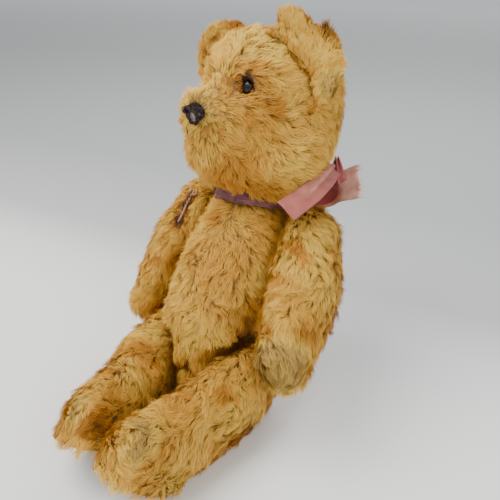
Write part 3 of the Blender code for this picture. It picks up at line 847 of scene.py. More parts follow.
def blades_mesh(name, roots, middles, tips, sides, tone):
    """One mesh of tapered blades, with a map of tone across and root to tip along each."""
    count = len(roots)
    inner = sides * BLADE_MIDDLE
    corners = np.stack([roots - sides, roots + sides, middles - inner, middles + inner, tips], 1)
    blade = np.arange(count)[:, None]
    loops = (blade * BLADE_CORNERS + FACE_CORNERS).ravel()
    starts = (blade * len(FACE_CORNERS) + FACE_STARTS).ravel()
    mesh = bpy.data.meshes.new(name)
    mesh.vertices.add(count * BLADE_CORNERS)
    mesh.vertices.foreach_set("co", corners.astype(np.float32).ravel())
    mesh.loops.add(len(loops))
    mesh.loops.foreach_set("vertex_index", loops.astype(np.int32))
    mesh.polygons.add(len(starts))
    mesh.polygons.foreach_set("loop_start", starts.astype(np.int32))
    map_x = np.clip(tone, *MAP_LIMITS)[:, None] + FACE_SIDES * MAP_HALF_WIDTH
    map_y = np.broadcast_to(FACE_ALONG, (count, len(FACE_ALONG)))
    mesh.uv_layers.new(name="OFBake")
    mesh.update(calc_edges=True)
    hair_map = mesh.uv_layers["OFBake"]
    hair_map.data.foreach_set("uv", np.stack([map_x, map_y], 2).astype(np.float32).ravel())
    mesh.materials.append(mohair)
    return mesh


# %% Growing the pile
HAIR_HALF_WIDTH, HAIR_WIDTH_LIMITS = 0.21 * MM, (0.7, 1.25)
HAIR_LENGTH, HAIR_LENGTH_LIMITS, BARE_LENGTH = 0.12, (0.6, 1.35), 0.8
HAIR_TURN, HAIR_CURL, HAIR_LIFT = math.radians(11), math.radians(12), math.radians(5)
HAIR_ROLL, HAIR_TONE, PILE_TONE = 0.35, 0.055, GOLD + 0.02
ARCH = math.radians(18)
GATHER_MIDDLE, GATHER_TIP = 0.1, 0.36
RUBBED_SHARE, RUBBED_LEAST = 1.25, 3.5 * MM
PAD_CLEAR, TABLE_CLEAR = 1.2 * MM, 0.4 * MM
SKIN_NORMAL, OWN_NORMAL = 0.55, 0.45


def rubbed(places, lengths, node):
    """Shortens the hair where another body's part is close."""
    others = [n for n in [*PLUSH, *PADS.values()] if body_holding(n) != body_holding(node)]
    near = tree_of(others)
    room = np.array([near.find_nearest(Vector(p))[3] for p in places])
    return np.minimum(lengths, np.maximum(room * RUBBED_SHARE, RUBBED_LEAST))


def leaning(flat, outs, angle):
    """Ways along the skin, each raised off it by an angle."""
    return flat * np.cos(angle)[:, None] + outs * np.sin(angle)[:, None]


def soften(mesh, outs):
    """Turns the blades' normals towards the skin's, so that the pile is lit as one surface."""
    skin_way = np.repeat(outs, BLADE_CORNERS, axis=0)
    own = np.empty(len(mesh.vertices) * 3)
    mesh.vertices.foreach_get("normal", own)
    mesh.normals_split_custom_set_from_vertices(
        unit(skin_way * SKIN_NORMAL + own.reshape(-1, 3) * OWN_NORMAL)
    )


def grow_pile(node):
    """The pile of a part: hairs rooted in its cloth, combed, worn and gathered into locks."""
    pile, dice = PILES[node], np.random.default_rng(PILES[node].stage)
    marks = MARKS.get(node, [])
    roots, outs = scatter(cloth[node], pile.hairs, dice)
    if node in PADS:
        pad = tree_of([PADS[node]])
        clear = np.array([pad.find_nearest(Vector(p))[3] for p in roots]) > PAD_CLEAR
        roots, outs = roots[clear], outs[clear]
    leads, lock = locks_of(roots)
    turn, curl, lift, tone, share = lock_values(roots[leads], dice)
    length = worn(roots[leads], marks, np.full(len(leads), pile.length), "length") * MM * share
    length = rubbed(roots[leads], length, node)
    tone = np.clip(worn(roots[leads], marks, PILE_TONE + tone, "tone"), 0, 1)
    count = len(roots)
    hair_length = length[lock] * np.clip(dice.normal(1, HAIR_LENGTH, count), *HAIR_LENGTH_LIMITS)
    kept = worn(roots, marks, np.full(count, pile.length), "length") >= BARE_LENGTH
    ways = COMBS[node](roots)
    ways = unit(ways - outs * (ways * outs).sum(1, keepdims=True))
    ways = turned_about(ways, outs, turn[lock] + dice.normal(0, HAIR_TURN, count))
    later = turned_about(ways, outs, curl[lock] + dice.normal(0, HAIR_CURL, count))
    rise = lift[lock] + dice.normal(0, HAIR_LIFT, count)
    half = hair_length[:, None] / 2
    middles = roots + leaning(ways, outs, rise + ARCH) * half
    tips = middles + leaning(later, outs, rise - ARCH) * half
    heads = leads[lock]
    middles += (middles[heads] - middles) * GATHER_MIDDLE
    tips += (tips[heads] - tips) * GATHER_TIP
    for corners in (roots, middles, tips):
        corners[:, 2] = np.maximum(corners[:, 2], TABLE_CLEAR)
    sides = unit(np.cross(tips - roots, outs))
    roll = dice.normal(0, HAIR_ROLL, count)[:, None]
    sides = sides * np.cos(roll) + unit(np.cross(sides, tips - roots)) * np.sin(roll)
    sides *= HAIR_HALF_WIDTH * dice.uniform(*HAIR_WIDTH_LIMITS, (count, 1))
    hair_tone = tone[lock] + dice.normal(0, HAIR_TONE, count)
    blades = [part[kept] for part in (roots, middles, tips, sides, hair_tone)]
    mesh = blades_mesh(f"{node}_pile", *blades)
    mesh.shade_smooth()
    soften(mesh, outs[kept])
    return sewn_on(f"{node}_pile", mesh, node)


pile = {node: grow_pile(node) for node in PLUSH}
print("hairs", sum(len(made.data.polygons) // 2 for made in pile.values()))

# %% [markdown]
# Threads sew the nose, the mouth, the pads and the darn on the torn shoulder. They could be
# bevelled curves, but those would still have to be made into meshes and joined. So a thread is
# built at once as a thin round body with closed ends, and many of them share one mesh.

# %% Helpers for threads
THREAD_SIDES, THREAD_END, THREAD_LEAN = 5, 0.6, Vector((0.31, 0.52, 0.79))
STITCH_STEPS, STITCH_PROUD, STITCH_SUNK = 5, 2.2, 1.0


def along(places):
    """The way a row of places runs at each of them."""
    ends = zip([places[0], *places[:-1]], [*places[1:], places[-1]])
    return [(after - before).normalized() for before, after in ends]


def square_to(way, wanted):
    """The unit way square to a run that is nearest to the way wanted."""
    return (wanted - way * way.dot(wanted)).normalized()


def add_thread(bm, places, radius):
    """A round thread with closed ends, thinner where it goes into the cloth."""
    angles = [math.tau * n / THREAD_SIDES for n in range(THREAD_SIDES)]
    rings = []
    for k, (place, way) in enumerate(zip(places, along(places))):
        side = square_to(way, THREAD_LEAN)
        face = way.cross(side)
        wide = radius * (THREAD_END if k in (0, len(places) - 1) else 1.0)
        round_it = [(side * math.cos(a) + face * math.sin(a)) * wide for a in angles]
        rings.append([bm.verts.new(place + reach) for reach in round_it])
    for near, far in zip(rings, rings[1:]):
        for i in range(THREAD_SIDES):
            j = (i + 1) % THREAD_SIDES
            bm.faces.new((near[i], near[j], far[j], far[i]))
    bm.faces.new(reversed(rings[0]))
    bm.faces.new(rings[-1])


def over_skin(skin, places, out):
    """Places moved onto a skin, each lifted off it by its own amount."""
    found = []
    for place, lift in zip(places, out):
        on_it, normal, *_ = skin.find_nearest(place)
        found.append(on_it + normal * lift)
    return found


def arched(start, end, rise):
    """Places from start to end with the lift of a stitch: in the cloth at its ends, proud between."""
    shares = [k / (STITCH_STEPS - 1) for k in range(STITCH_STEPS)]
    places = [start.lerp(end, t) for t in shares]
    return places, [rise * (STITCH_PROUD * math.sin(math.pi * t) - STITCH_SUNK) for t in shares]


# %% Finishes of thread
BLACK_TONES = [(0.35, (0.008, 0.006, 0.006)), (0.65, (0.035, 0.026, 0.024))]
WORN_TONES = [(0.35, (0.10, 0.075, 0.070)), (0.65, (0.27, 0.215, 0.195))]
BACKING_TONES = [(0.35, (0.26, 0.13, 0.075)), (0.65, (0.50, 0.29, 0.18))]


def thread_finish_of(name, stops):
    made, tree, shader = start_finish(name, roughness=0.75)
    ramp, grain = mottled(tree, scale=700, detail=3, stops=stops)
    shader.inputs["Specular IOR Level"].default_value = 0.3
    tree.links.new(ramp.outputs["Color"], shader.inputs["Base Color"])
    raised(tree, shader, grain.outputs["Fac"], strength=0.6, distance=0.0002)
    return made


thread_finish = thread_finish_of("dark_thread", BLACK_TONES)
grey_thread = thread_finish_of("worn_grey_thread", WORN_TONES)
tear_edge_cloth = thread_finish_of("bare_backing_edge", BACKING_TONES)
print("threads", thread_finish.name, grey_thread.name, tear_edge_cloth.name)

# %% [markdown]
# The eyes are dark glass balls, deep in the pile and dulled by fine scratches. New balls could
# be made, but the solids have the right shape, so they stay and get a finish whose gloss is
# uneven.

# %% Eyes
EYE_TONES = [(0.35, (0.006, 0.004, 0.003)), (0.62, (0.012, 0.007, 0.005)), (0.74, (0.05, 0.04, 0.035))]
EYE_GLOSS = {"From Min": 0.3, "From Max": 0.75, "To Min": 0.06, "To Max": 0.3}

eye_glass, tree, shader = start_finish("dark_eye_glass", roughness=0.14)
ramp, grain = mottled(tree, scale=420, detail=5, stops=EYE_TONES)
dull = add_node(tree, "ShaderNodeMapRange", EYE_GLOSS)
tree.links.new(ramp.outputs["Color"], shader.inputs["Base Color"])
tree.links.new(grain.outputs["Fac"], dull.inputs["Value"])
tree.links.new(dull.outputs["Result"], shader.inputs["Roughness"])
shader.inputs["Specular IOR Level"].default_value = 0.35
for side in SIDES:
    eye = frame["nodes"][f"eye_{side}"]
    eye.data.materials.clear()
    eye.data.materials.append(eye_glass)
print("eyes", eye_glass.name)

# %% [markdown]
# The nose was stitched over felt with black thread: on the bear's left a ring of the stitches
# is left, and the rest has worn down to the grey felt. It could be one body with a stitched
# look, but the ring stands proud and is broken. So the felt is the solid in an even mesh,
# pressed back outside its two lobes, and the stitches are threads laid over it. Of the mouth
# only a few thin stitches are left, half hidden in the hair.

# %% Nose felt
BALD_TONES = [(0.34, (0.035, 0.024, 0.022)), (0.5, (0.15, 0.115, 0.10)), (0.66, (0.27, 0.215, 0.19))]
NOSE_TONES = [(0.42, (0.010, 0.007, 0.007)), (0.56, (0.026, 0.019, 0.018)), (0.70, (0.10, 0.075, 0.068))]
NOSE_FELT_MESH, NOSE_FELT_IN = 0.8 * MM, 0.6 * MM
NOSE_PITS = [(3.5 * MM, 0.7 * MM), (1.4 * MM, 0.3 * MM)]
BESIDE_LOBES, LOBE_EDGE, WORN_EDGE = 4.2, (0.85, 1.25), (0.75, 1.0)

nose_felt_finish, tree, shader = start_finish("worn_nose_felt", roughness=1.0)
shader.inputs["Specular IOR Level"].default_value = 0.15
ramp, grain = mottled(tree, scale=330, detail=5, stops=NOSE_TONES)
bald_ramp, _ = mottled(tree, scale=520, detail=5, stops=BALD_TONES)
bald = add_node(tree, "ShaderNodeAttribute", attribute_name="Bald")
felt_tone = add_node(tree, "ShaderNodeMix", data_type="RGBA", blend_type="MIX")
tree.links.new(bald.outputs["Fac"], felt_tone.inputs["Factor"])
tree.links.new(ramp.outputs["Color"], felt_tone.inputs["A"])
tree.links.new(bald_ramp.outputs["Color"], felt_tone.inputs["B"])
tree.links.new(felt_tone.outputs["Result"], shader.inputs["Base Color"])
raised(tree, shader, grain.outputs["Fac"], strength=0.8, distance=0.0006)


def out_of(lobes, across, up):
    """How far out of the nearest round lobe a place on the nose is: 0 in the middle, 1 at the rim."""
    return min(math.hypot(across - x, up - y) / size for (x, y), size in lobes)


bm = even_mesh(welded(["nose_stitching"]), "nose", NOSE_FELT_MESH)
smoothed(bm, 1)
bm.normal_update()
bald_share = bm.verts.layers.float.new("Bald")
for v in bm.verts:
    flat = v.co - NOSE
    across, up = flat.dot(ACROSS_FACE) / MM, flat.dot(UP_FACE) / MM
    back = BESIDE_LOBES * MM * soft_step(out_of(NOSE_LOBES, across, up), *LOBE_EDGE)
    v[bald_share] = 1 - float(soft_step(out_of(NOSE_WORN, across, up), *WORN_EDGE))
    v.co += v.normal * (waves(v.co, NOSE_PITS) - NOSE_FELT_IN) - FACE_OUT * back
nose_skin = BVHTree.FromBMesh(bm)
nose_felt = new_piece("nose_felt", bm, nose_felt_finish, "nose_stitching")
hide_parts("nose_stitching")
print("nose felt", len(nose_felt.data.polygons))

# %% Stitches of the nose and the mouth
RING_AT, RING_RADII, RING_STITCHES = (6.2, -2.2), (5.1, 5.9), 26
RING_WANDER, RING_LONG, RING_SLANT = 0.05, (0.75, 1.2), (0.1, 0.5)
STITCH_LONG, STITCH_RADIUS, STITCH_RISE = 2.4, 0.62 * MM, 0.45 * MM
THIN_RADIUS, THIN_RISE = STITCH_RADIUS * 0.9, 0.4 * MM
LOOSE_STITCHES = [
    (1.6, 2.0, 2.0, -3.4),
    (2.8, 1.6, 3.2, -5.4),
    (4.2, 0.0, 4.4, -6.6),
    (5.6, -3.0, 5.8, -7.2),
    (-3.0, 1.8, -2.2, -1.6),
    (-9.8, 3.8, -10.4, 0.2),
    (-5.6, 3.8, -5.2, 0.8),
]
WORN_STITCHES = [
    (5.4, 2.2, 5.6, -0.8),
    (6.8, 2.2, 6.9, -2.4),
    (8.2, 1.4, 8.2, -3.6),
    (9.4, -0.2, 9.2, -4.2),
    (-7.4, 3.2, -7.6, 0.4),
]
MOUTH = [
    [(-18, -18, 253), (-20, -16, 247), (-22, -14, 240)],
    [(-22, -14, 241), (-18, -14, 238), (-13, -13, 239)],
    [(-13, -14, 240), (-7, -14, 233), (-4, -13, 229), (0, -12, 224)],
]
MOUTH_RADIUS, MOUTH_SUNK = 0.55 * MM, 1.6 * MM


def add_stitches(bm, rows):
    for x0, y0, x1, y1 in rows:
        places, lifts = arched(on_nose(x0, y0), on_nose(x1, y1), THIN_RISE)
        add_thread(bm, over_skin(nose_skin, places, lifts), THIN_RADIUS)


dice = np.random.default_rng(21)
bm = bmesh.new()
for k in range(RING_STITCHES):
    angle = math.tau * k / RING_STITCHES + dice.normal(0, RING_WANDER)
    ends = []
    for reach in (-0.5, 0.5):
        wide, tall = [radius + reach * STITCH_LONG * dice.uniform(*RING_LONG) for radius in RING_RADII]
        turn = angle + reach * dice.uniform(*RING_SLANT)
        ends.append(on_nose(RING_AT[0] + wide * math.cos(turn), RING_AT[1] + tall * math.sin(turn)))
    places, lifts = arched(*ends, STITCH_RISE)
    add_thread(bm, over_skin(nose_skin, places, lifts), STITCH_RADIUS)
add_stitches(bm, LOOSE_STITCHES)
nose_stitches = new_piece("nose_stitches", bm, thread_finish, "nose_stitching")
bm = bmesh.new()
add_stitches(bm, WORN_STITCHES)
new_piece("nose_worn_stitches", bm, grey_thread, "nose_stitching")

head_skin = tree_of(["head"])
bm = bmesh.new()
for row in MOUTH:
    places = [Vector(place) * MM for place in row]
    add_thread(bm, over_skin(head_skin, places, [-MOUTH_SUNK] * len(row)), MOUTH_RADIUS)
mouth_stitches = new_piece("mouth_stitches", bm, thread_finish, "mouth_stitching")
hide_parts("mouth_stitching")
print("stitches", len(nose_stitches.data.polygons), len(mouth_stitches.data.polygons))

# %% [markdown]
# The soles and paws have pads of brown felt, crowned by the stuffing, rubbed pale here and
# there and sewn on with an over-and-over stitch round the rim. The stitches could be a line of
# colour, but seen from the side they stand proud, so they are short threads over the rim.

# %% Pad felt
FELT_TONES = [(0.34, (0.050, 0.030, 0.018)), (0.5, (0.15, 0.092, 0.050)), (0.68, (0.31, 0.215, 0.125))]

pad_felt, tree, shader = start_finish("worn_pad_felt", roughness=0.95, sheen=0.35)
ramp, _ = mottled(tree, scale=60, detail=8, stops=FELT_TONES)
nap = add_node(tree, "ShaderNodeTexNoise", {"Scale": 1500, "Detail": 4})
place = add_node(tree, "ShaderNodeTexCoord")
tree.links.new(place.outputs["Object"], nap.inputs["Vector"])
tree.links.new(ramp.outputs["Color"], shader.inputs["Base Color"])
raised(tree, shader, nap.outputs["Fac"], strength=0.7, distance=0.0005)
print("pads' finish", pad_felt.name)

# %% Rims of the pads
RIM_STEPS, RIM_WINDOW = 72, 0.22


def pad_plane(node, limb):
    """A pad's middle, its way out, two ways across it and all its corners."""
    corners = np.array([v.co for v in frame["nodes"][node].data.vertices])
    heart = corners.mean(0)
    across, up, out = np.linalg.svd(corners - heart)[2]
    if out @ (heart - np.array(middle(limb))) < 0:
        out = -out
    return Vector(heart), Vector(out), Vector(across), Vector(up), corners


def pad_rim(node, limb):
    """The rim of a pad as evenly turned places round its middle."""
    heart, out, across, up, corners = pad_plane(node, limb)
    flat = corners - np.array(heart)
    turn = np.arctan2(flat @ np.array(up), flat @ np.array(across))
    far = np.hypot(flat @ np.array(up), flat @ np.array(across))
    rim, skin = [], tree_of([node])
    for angle in np.linspace(-math.pi, math.pi, RIM_STEPS, endpoint=False):
        near = np.abs((turn - angle + math.pi) % math.tau - math.pi) < RIM_WINDOW
        reach = far[near].max() if near.any() else far.max()
        place = heart + (across * math.cos(angle) + up * math.sin(angle)) * float(reach)
        rim.append(skin.find_nearest(place)[0])
    return heart, out, rim


# %% Pads
PAD_MESH, PAD_SMOOTH = 1.1 * MM, 2
PAD_CROWN, PAD_DENTS = 1.3 * MM, [(9 * MM, 0.5 * MM)]
PAD_TABLE_CLEAR, PAD_TABLE_PARTS = 3 * MM, 3
RIM_GAP, RIM_SLANT, RIM_RADIUS = 4.2 * MM, 0.8 * MM, 0.4 * MM
RIM_IN, RIM_OUT = 2.2 * MM, 1.2 * MM
# How far each place of a stitch lies inward, the share of that, the mm out and the slant.
RIM_STITCH = [
    (RIM_IN, 1, -0.6, 0),
    (RIM_IN, 0.8, 1.7, 0.3),
    (RIM_IN, 0.2, 1.8, 0.7),
    (-RIM_OUT, 1, 0.6, 1),
    (-RIM_OUT, 0.9, -1.5, 1),
]


def sew_rim(node, heart, out, rim):
    """Short threads over the rim of a pad, into the felt on one side and the plush on the other."""
    bm = bmesh.new()
    gone = 0.0
    for here, there in zip(rim, [*rim[1:], rim[0]]):
        gone += (there - here).length
        if gone < RIM_GAP or here.z < PAD_TABLE_CLEAR:
            continue
        gone = 0.0
        inward = (heart - here).normalized()
        slant = (there - here).normalized() * RIM_SLANT
        places = [
            here + inward * long * share + out * up * MM + slant * part
            for long, share, up, part in RIM_STITCH
        ]
        add_thread(bm, places, RIM_RADIUS)
    new_piece(f"{node}_stitches", bm, thread_finish, node)


def felt_pad(node, limb):
    """A felt pad, crowned in its middle, with the stitches round its rim."""
    heart, out, rim = pad_rim(node, limb)
    wide = max((place - heart).length for place in rim)
    bm = even_mesh(welded([node]), node, PAD_MESH)
    smoothed(bm, PAD_SMOOTH)
    for v in bm.verts:
        middle_share = max(0.0, 1 - ((v.co - heart).length / wide) ** 2)
        lift = PAD_CROWN * middle_share + waves(v.co, PAD_DENTS)
        if v.co.z > PAD_TABLE_CLEAR:
            v.co += out * min(lift, v.co.z / PAD_TABLE_PARTS)
    made = new_piece(f"{node}_felt", bm, pad_felt, node)
    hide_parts(node)
    sew_rim(node, heart, out, rim)
    return made


pads = {node: felt_pad(node, limb) for limb, node in PADS.items()}
print("felt faces", {node: len(felt.data.polygons) for node, felt in pads.items()})

# %% [markdown]
# The cloth of the right shoulder has torn along its seam. The tear was darned once with
# black thread in a zigzag, and its raw edges have rolled back to show the bare backing. A hole
# could be cut, but there is only stuffing behind it. So the slit is a mark of short hair in the
# pile, near-black with painted shade for the dark of the opening, and its rolled edges and the
# darn are thick and thin threads.

# %% Torn shoulder
TEAR_EDGES = [(0.0, 0.62, 3.6), (0.6, 0.86, 2.0), (0.66, 0.98, 4.8), (0.66, 0.9, -3.0)]
EDGE_RADIUS, EDGE_PROUD, EDGE_STEPS = 1.0 * MM, 3.4 * MM, 9
EDGE_ENDS, EDGE_BOW = 0.55, 0.45
DARN_FROM, DARN_TO, DARN_TURNS, DARN_WIDE = 0.3, 0.68, 9, 2.2
DARN_RADIUS, DARN_PROUD, DARN_DIP = 0.65 * MM, 4.2 * MM, 1.2 * MM

arm_skin = skin_of(cloth["arm_right"])


def on_slit(share, aside, proud):
    """A place along the tear, so many mm to one side of it and so far proud of the cloth."""
    run = share * (len(SLIT) - 1)
    k = min(int(run), len(SLIT) - 2)
    place, way = SLIT[k].lerp(SLIT[k + 1], run - k), SLIT[k + 1] - SLIT[k]
    out = arm_skin.find_nearest(place)[1]
    on_it, out, *_ = arm_skin.find_nearest(place + way.cross(out).normalized() * aside * MM)
    return on_it + out * proud


bm = bmesh.new()
for start, end, aside in TEAR_EDGES:
    shares = np.linspace(start, end, EDGE_STEPS)
    bow = [EDGE_ENDS + EDGE_BOW * math.sin(math.pi * k / (EDGE_STEPS - 1)) for k in range(EDGE_STEPS)]
    places = [on_slit(share, aside * part, EDGE_PROUD) for share, part in zip(shares, bow)]
    add_thread(bm, places, EDGE_RADIUS)
tear_edges = new_piece("tear_edges", bm, tear_edge_cloth, "arm_right")
bm = bmesh.new()
turns = [
    on_slit(share, DARN_WIDE * (-1) ** k, DARN_PROUD - DARN_DIP * (k % 2))
    for k, share in enumerate(np.linspace(DARN_FROM, DARN_TO, DARN_TURNS))
]
add_thread(bm, turns, DARN_RADIUS)
darn = new_piece("tear_darn", bm, thread_finish, "arm_right")
print("tear", len(tear_edges.data.polygons), len(darn.data.polygons))

# %% [markdown]
# At the back rim of the left ear the seam has burst, and a row of stiff short hairs stands
# out of it. The rule that combs the ear would lay them flat, so they are a few blades more,
# with a way of their own.

# %% Burst ear seam
BURST_SEAM = [(55, 59, 324, 6), (57, 60, 323, 8), (61, 60, 317, 8), (65, 61, 310, 7), (67, 60, 303, 5)]
BRISTLES, BRISTLE_SPREAD, BRISTLE_ROOT = 620, 1.0 * MM, 3
BRISTLE_WAY, BRISTLE_OUT, BRISTLE_WANDER = (-0.15, 0.1, 1.0), 0.7, 0.22
BRISTLE_LENGTH, TUFTS, TUFT_MORE = (0.6, 1.1), 9, 0.25
BRISTLE_TONES, PALE_SHARE, BRISTLE_TONE_SPREAD = (0.93, RUST + 0.1), 0.5, 0.05

dice = np.random.default_rng(31)
rows = np.array(BURST_SEAM, float)
run = dice.random(BRISTLES) * (len(BURST_SEAM) - 1)
k = run.astype(int)
row = rows[k] + (rows[k + 1] - rows[k]) * (run - k)[:, None]
roots = row[:, :3] * MM + dice.normal(0, BRISTLE_SPREAD, (BRISTLES, 3))
rim_out = unit(roots - np.array(middle("ear_left")))
tuft = np.sin(run * TUFTS) * TUFT_MORE + 1
ways = np.array(BRISTLE_WAY) + rim_out * BRISTLE_OUT
ways = unit(ways + dice.normal(0, BRISTLE_WANDER, (BRISTLES, 3)))
long = (row[:, 3] * MM * tuft * dice.uniform(*BRISTLE_LENGTH, BRISTLES))[:, None]
sides = unit(np.cross(ways, rim_out)) * HAIR_HALF_WIDTH
tone = np.where(dice.random(BRISTLES) < PALE_SHARE, *BRISTLE_TONES)
tone += dice.normal(0, BRISTLE_TONE_SPREAD, BRISTLES)
in_seam, halfway, tips = roots - ways * BRISTLE_ROOT * MM, roots + ways * long * 0.5, roots + ways * long
mesh = blades_mesh("ear_fray", in_seam, halfway, tips, sides, tone)
fray = sewn_on("ear_fray", mesh, "ear_left")
print("bristles", len(fray.data.polygons) // 2)

# %% [markdown]
# The ribbon is one length of washed-out silk, drawn together round the neck and knotted at
# the bear's left back. Round the neck it lies in pleats. One end comes forward over the
# shoulder with its upper edge turned over, the other stands back and has frayed, and between
# them a loop of slack silk stands up. The silk is faded pink where it hung in the light, and
# its tones also carry painted light: paler outer pleats, light and shade painted on the ribs
# of the knot and the loop, a paler flap and a painted glint on the crease of the front end, and
# the back end painted paler for the light that comes through it. A cloth simulation could tie
# it, but it would have to be steered to each fold, so each stretch is laid through a few places
# with a width and a way across at each.

# %% Silk finish
# Silk tones from dark mauve to pale pink, read by fading and by painted light on the folds.
SILK_TONES = [
    (0.0, (0.12, 0.035, 0.045)),
    (0.1, (0.26, 0.078, 0.08)),
    (0.28, (0.30, 0.045, 0.05)),
    (0.5, (0.38, 0.120, 0.085)),
    (0.62, (0.46, 0.160, 0.115)),
    (0.8, (0.66, 0.30, 0.235)),
    (0.9, (0.86, 0.47, 0.38)),
    (1.0, (0.94, 0.58, 0.48)),
]
BLOTCH_SPREAD = {"From Min": 0.3, "From Max": 0.7, "To Min": -0.1, "To Max": 0.08}

silk, tree, shader = start_finish("faded_silk", roughness=0.6, sheen=0.05)
tone_with_painted_light = add_node(tree, "ShaderNodeAttribute", attribute_name="Fade")
blotches = add_node(tree, "ShaderNodeTexNoise", {"Scale": 110, "Detail": 6})
spread = add_node(tree, "ShaderNodeMapRange", BLOTCH_SPREAD)
faded = add_node(tree, "ShaderNodeMath", operation="ADD")
place = add_node(tree, "ShaderNodeTexCoord")
ramp = colour_ramp(tree, SILK_TONES)
laid = add_node(tree, "ShaderNodeUVMap", uv_map="Weave")
ribs = add_node(tree, "ShaderNodeTexNoise", {"Scale": 1.0, "Detail": 3})
stretched = add_node(tree, "ShaderNodeMapping", {"Scale": (260, 1900, 1)})
tree.links.new(place.outputs["Object"], blotches.inputs["Vector"])
tree.links.new(blotches.outputs["Fac"], spread.inputs["Value"])
tree.links.new(tone_with_painted_light.outputs["Fac"], faded.inputs[0])
tree.links.new(spread.outputs["Result"], faded.inputs[1])
tree.links.new(faded.outputs["Value"], ramp.inputs["Fac"])
tree.links.new(ramp.outputs["Color"], shader.inputs["Base Color"])
tree.links.new(laid.outputs["UV"], stretched.inputs["Vector"])
tree.links.new(stretched.outputs["Vector"], ribs.inputs["Vector"])
raised(tree, shader, ribs.outputs["Fac"], strength=0.5, distance=0.0004)
print("silk finish", silk.name)

# %% Silk laid through places
SILK_WIDE, SILK_LONG, SILK_THICK = 26 * MM, 0.44, 0.3 * MM

neck = next(joint for joint in frame["joints"] if joint["child"] == body_holding("head"))
upright = Vector((0, 0, 1)).rotation_difference(Vector(neck["axis"])).to_matrix().to_4x4()
NECK = Matrix.Translation(neck["pos_m"]) @ upright
print("neck", [round(x, 4) for x in neck["pos_m"]])


def flow(rows, steps):
    """Rows of numbers with smooth rows put in between them."""
    rows = [np.array(row, float) for row in rows]
    rows = [2 * rows[0] - rows[1], *rows, 2 * rows[-1] - rows[-2]]
    found = []
    for a, b, c, d in zip(rows, rows[1:], rows[2:], rows[3:]):
        square, cube = 2 * a - 5 * b + 4 * c - d, 3 * b - a - 3 * c + d
        for t in np.linspace(0, 1, steps, endpoint=False):
            found.append(b + ((c - a) * t + square * t**2 + cube * t**3) / 2)
    return [*found, rows[-2]]


def silk_mesh():
    """An empty bmesh with a map of the flat silk and a share of fading and painted light for its corners.
    """
    bm = bmesh.new()
    return bm, bm.loops.layers.uv.new("Weave"), bm.verts.layers.float.new("Fade")


def lay(bm, weave, grid, laid):
    """Faces between rows of corners, with the place of each on the flat silk."""
    for row, after in zip(grid, grid[1:]):
        for n in range(len(row) - 1):
            face = bm.faces.new((row[n], row[n + 1], after[n + 1], after[n]))
            for loop in face.loops:
                loop[weave].uv = laid[loop.vert]


# %% Pleated band round the neck
BAND_RADIUS, BAND_FOOT, BAND_HIGH, BAND_LEAN = 37.5, -9.0, 10.0, 0.10
PLEATS, PLEAT_DEEP, BAND_ROUND = 8, 1.15, 96
PLEAT_LEAST, PLEAT_WANDER, PLEAT_RISE = 0.75, 0.9, 1.1
WANDER_ROUND, WANDER_UP, UNEVEN_ROUND, UNEVEN = 2.2, 3.1, 5, 0.5
FADE_BAND, PLEAT_PAINTED_LIGHT, WANDER_PALE = 0.06, 0.05, 0.04
KNOT_AT = (24.5, 36.5, -5.5)


def pleated_band(bm, weave, tone_with_painted_light):
    """The pleats, from the knot round the neck and back to it."""
    grid, laid = [], {}
    knot_turn = math.atan2(KNOT_AT[1], KNOT_AT[0])
    for k in range(BAND_ROUND + 1):
        turn = knot_turn + math.tau * k / BAND_ROUND
        x, y = math.cos(turn), math.sin(turn)
        uneven = UNEVEN * noise.noise(Vector((x * UNEVEN_ROUND, y * UNEVEN_ROUND, 7)))
        row = []
        for n in range(PLEATS + 1):
            wander = noise.noise(Vector((x * WANDER_ROUND, y * WANDER_ROUND, n * WANDER_UP)))
            deep = PLEAT_DEEP * (-1) ** n * (PLEAT_LEAST + PLEAT_WANDER * wander)
            reach = BAND_RADIUS + deep + uneven
            high = BAND_FOOT + BAND_HIGH * n / PLEATS + BAND_LEAN * x * BAND_RADIUS + PLEAT_RISE * wander
            corner = bm.verts.new(NECK @ (Vector((x * reach, y * reach, high)) * MM))
            # Outer folds of the pleats are painted paler and inner ones darker: painted light and shade.
            corner[tone_with_painted_light] = FADE_BAND + PLEAT_PAINTED_LIGHT * (deep / PLEAT_DEEP) + WANDER_PALE * wander
            laid[corner] = (n / PLEATS * SILK_WIDE, math.tau * BAND_RADIUS * MM * k / BAND_ROUND)
            row.append(corner)
        grid.append(row)
    lay(bm, weave, grid, laid)


# %% Loose stretches of silk
STRIP_STEPS, STRIP_ACROSS = 7, 16
RUMPLE_WIDE, RUMPLE_HIGH, CREPE_WIDE, CREPE_HIGH = 9, 0.9, 2.5, 0.25
RAGGED_FROM, RAGGED_EVEN, RAGGED_STEP = 0.9, 0.5, 0.9
FADE_BY_KNOT, FADE_AWAY, FADE_WAY = 0.8, 0.2, (0.1, 0.5)
LAID_FROM, LAID_LONG = 0.26, 0.1


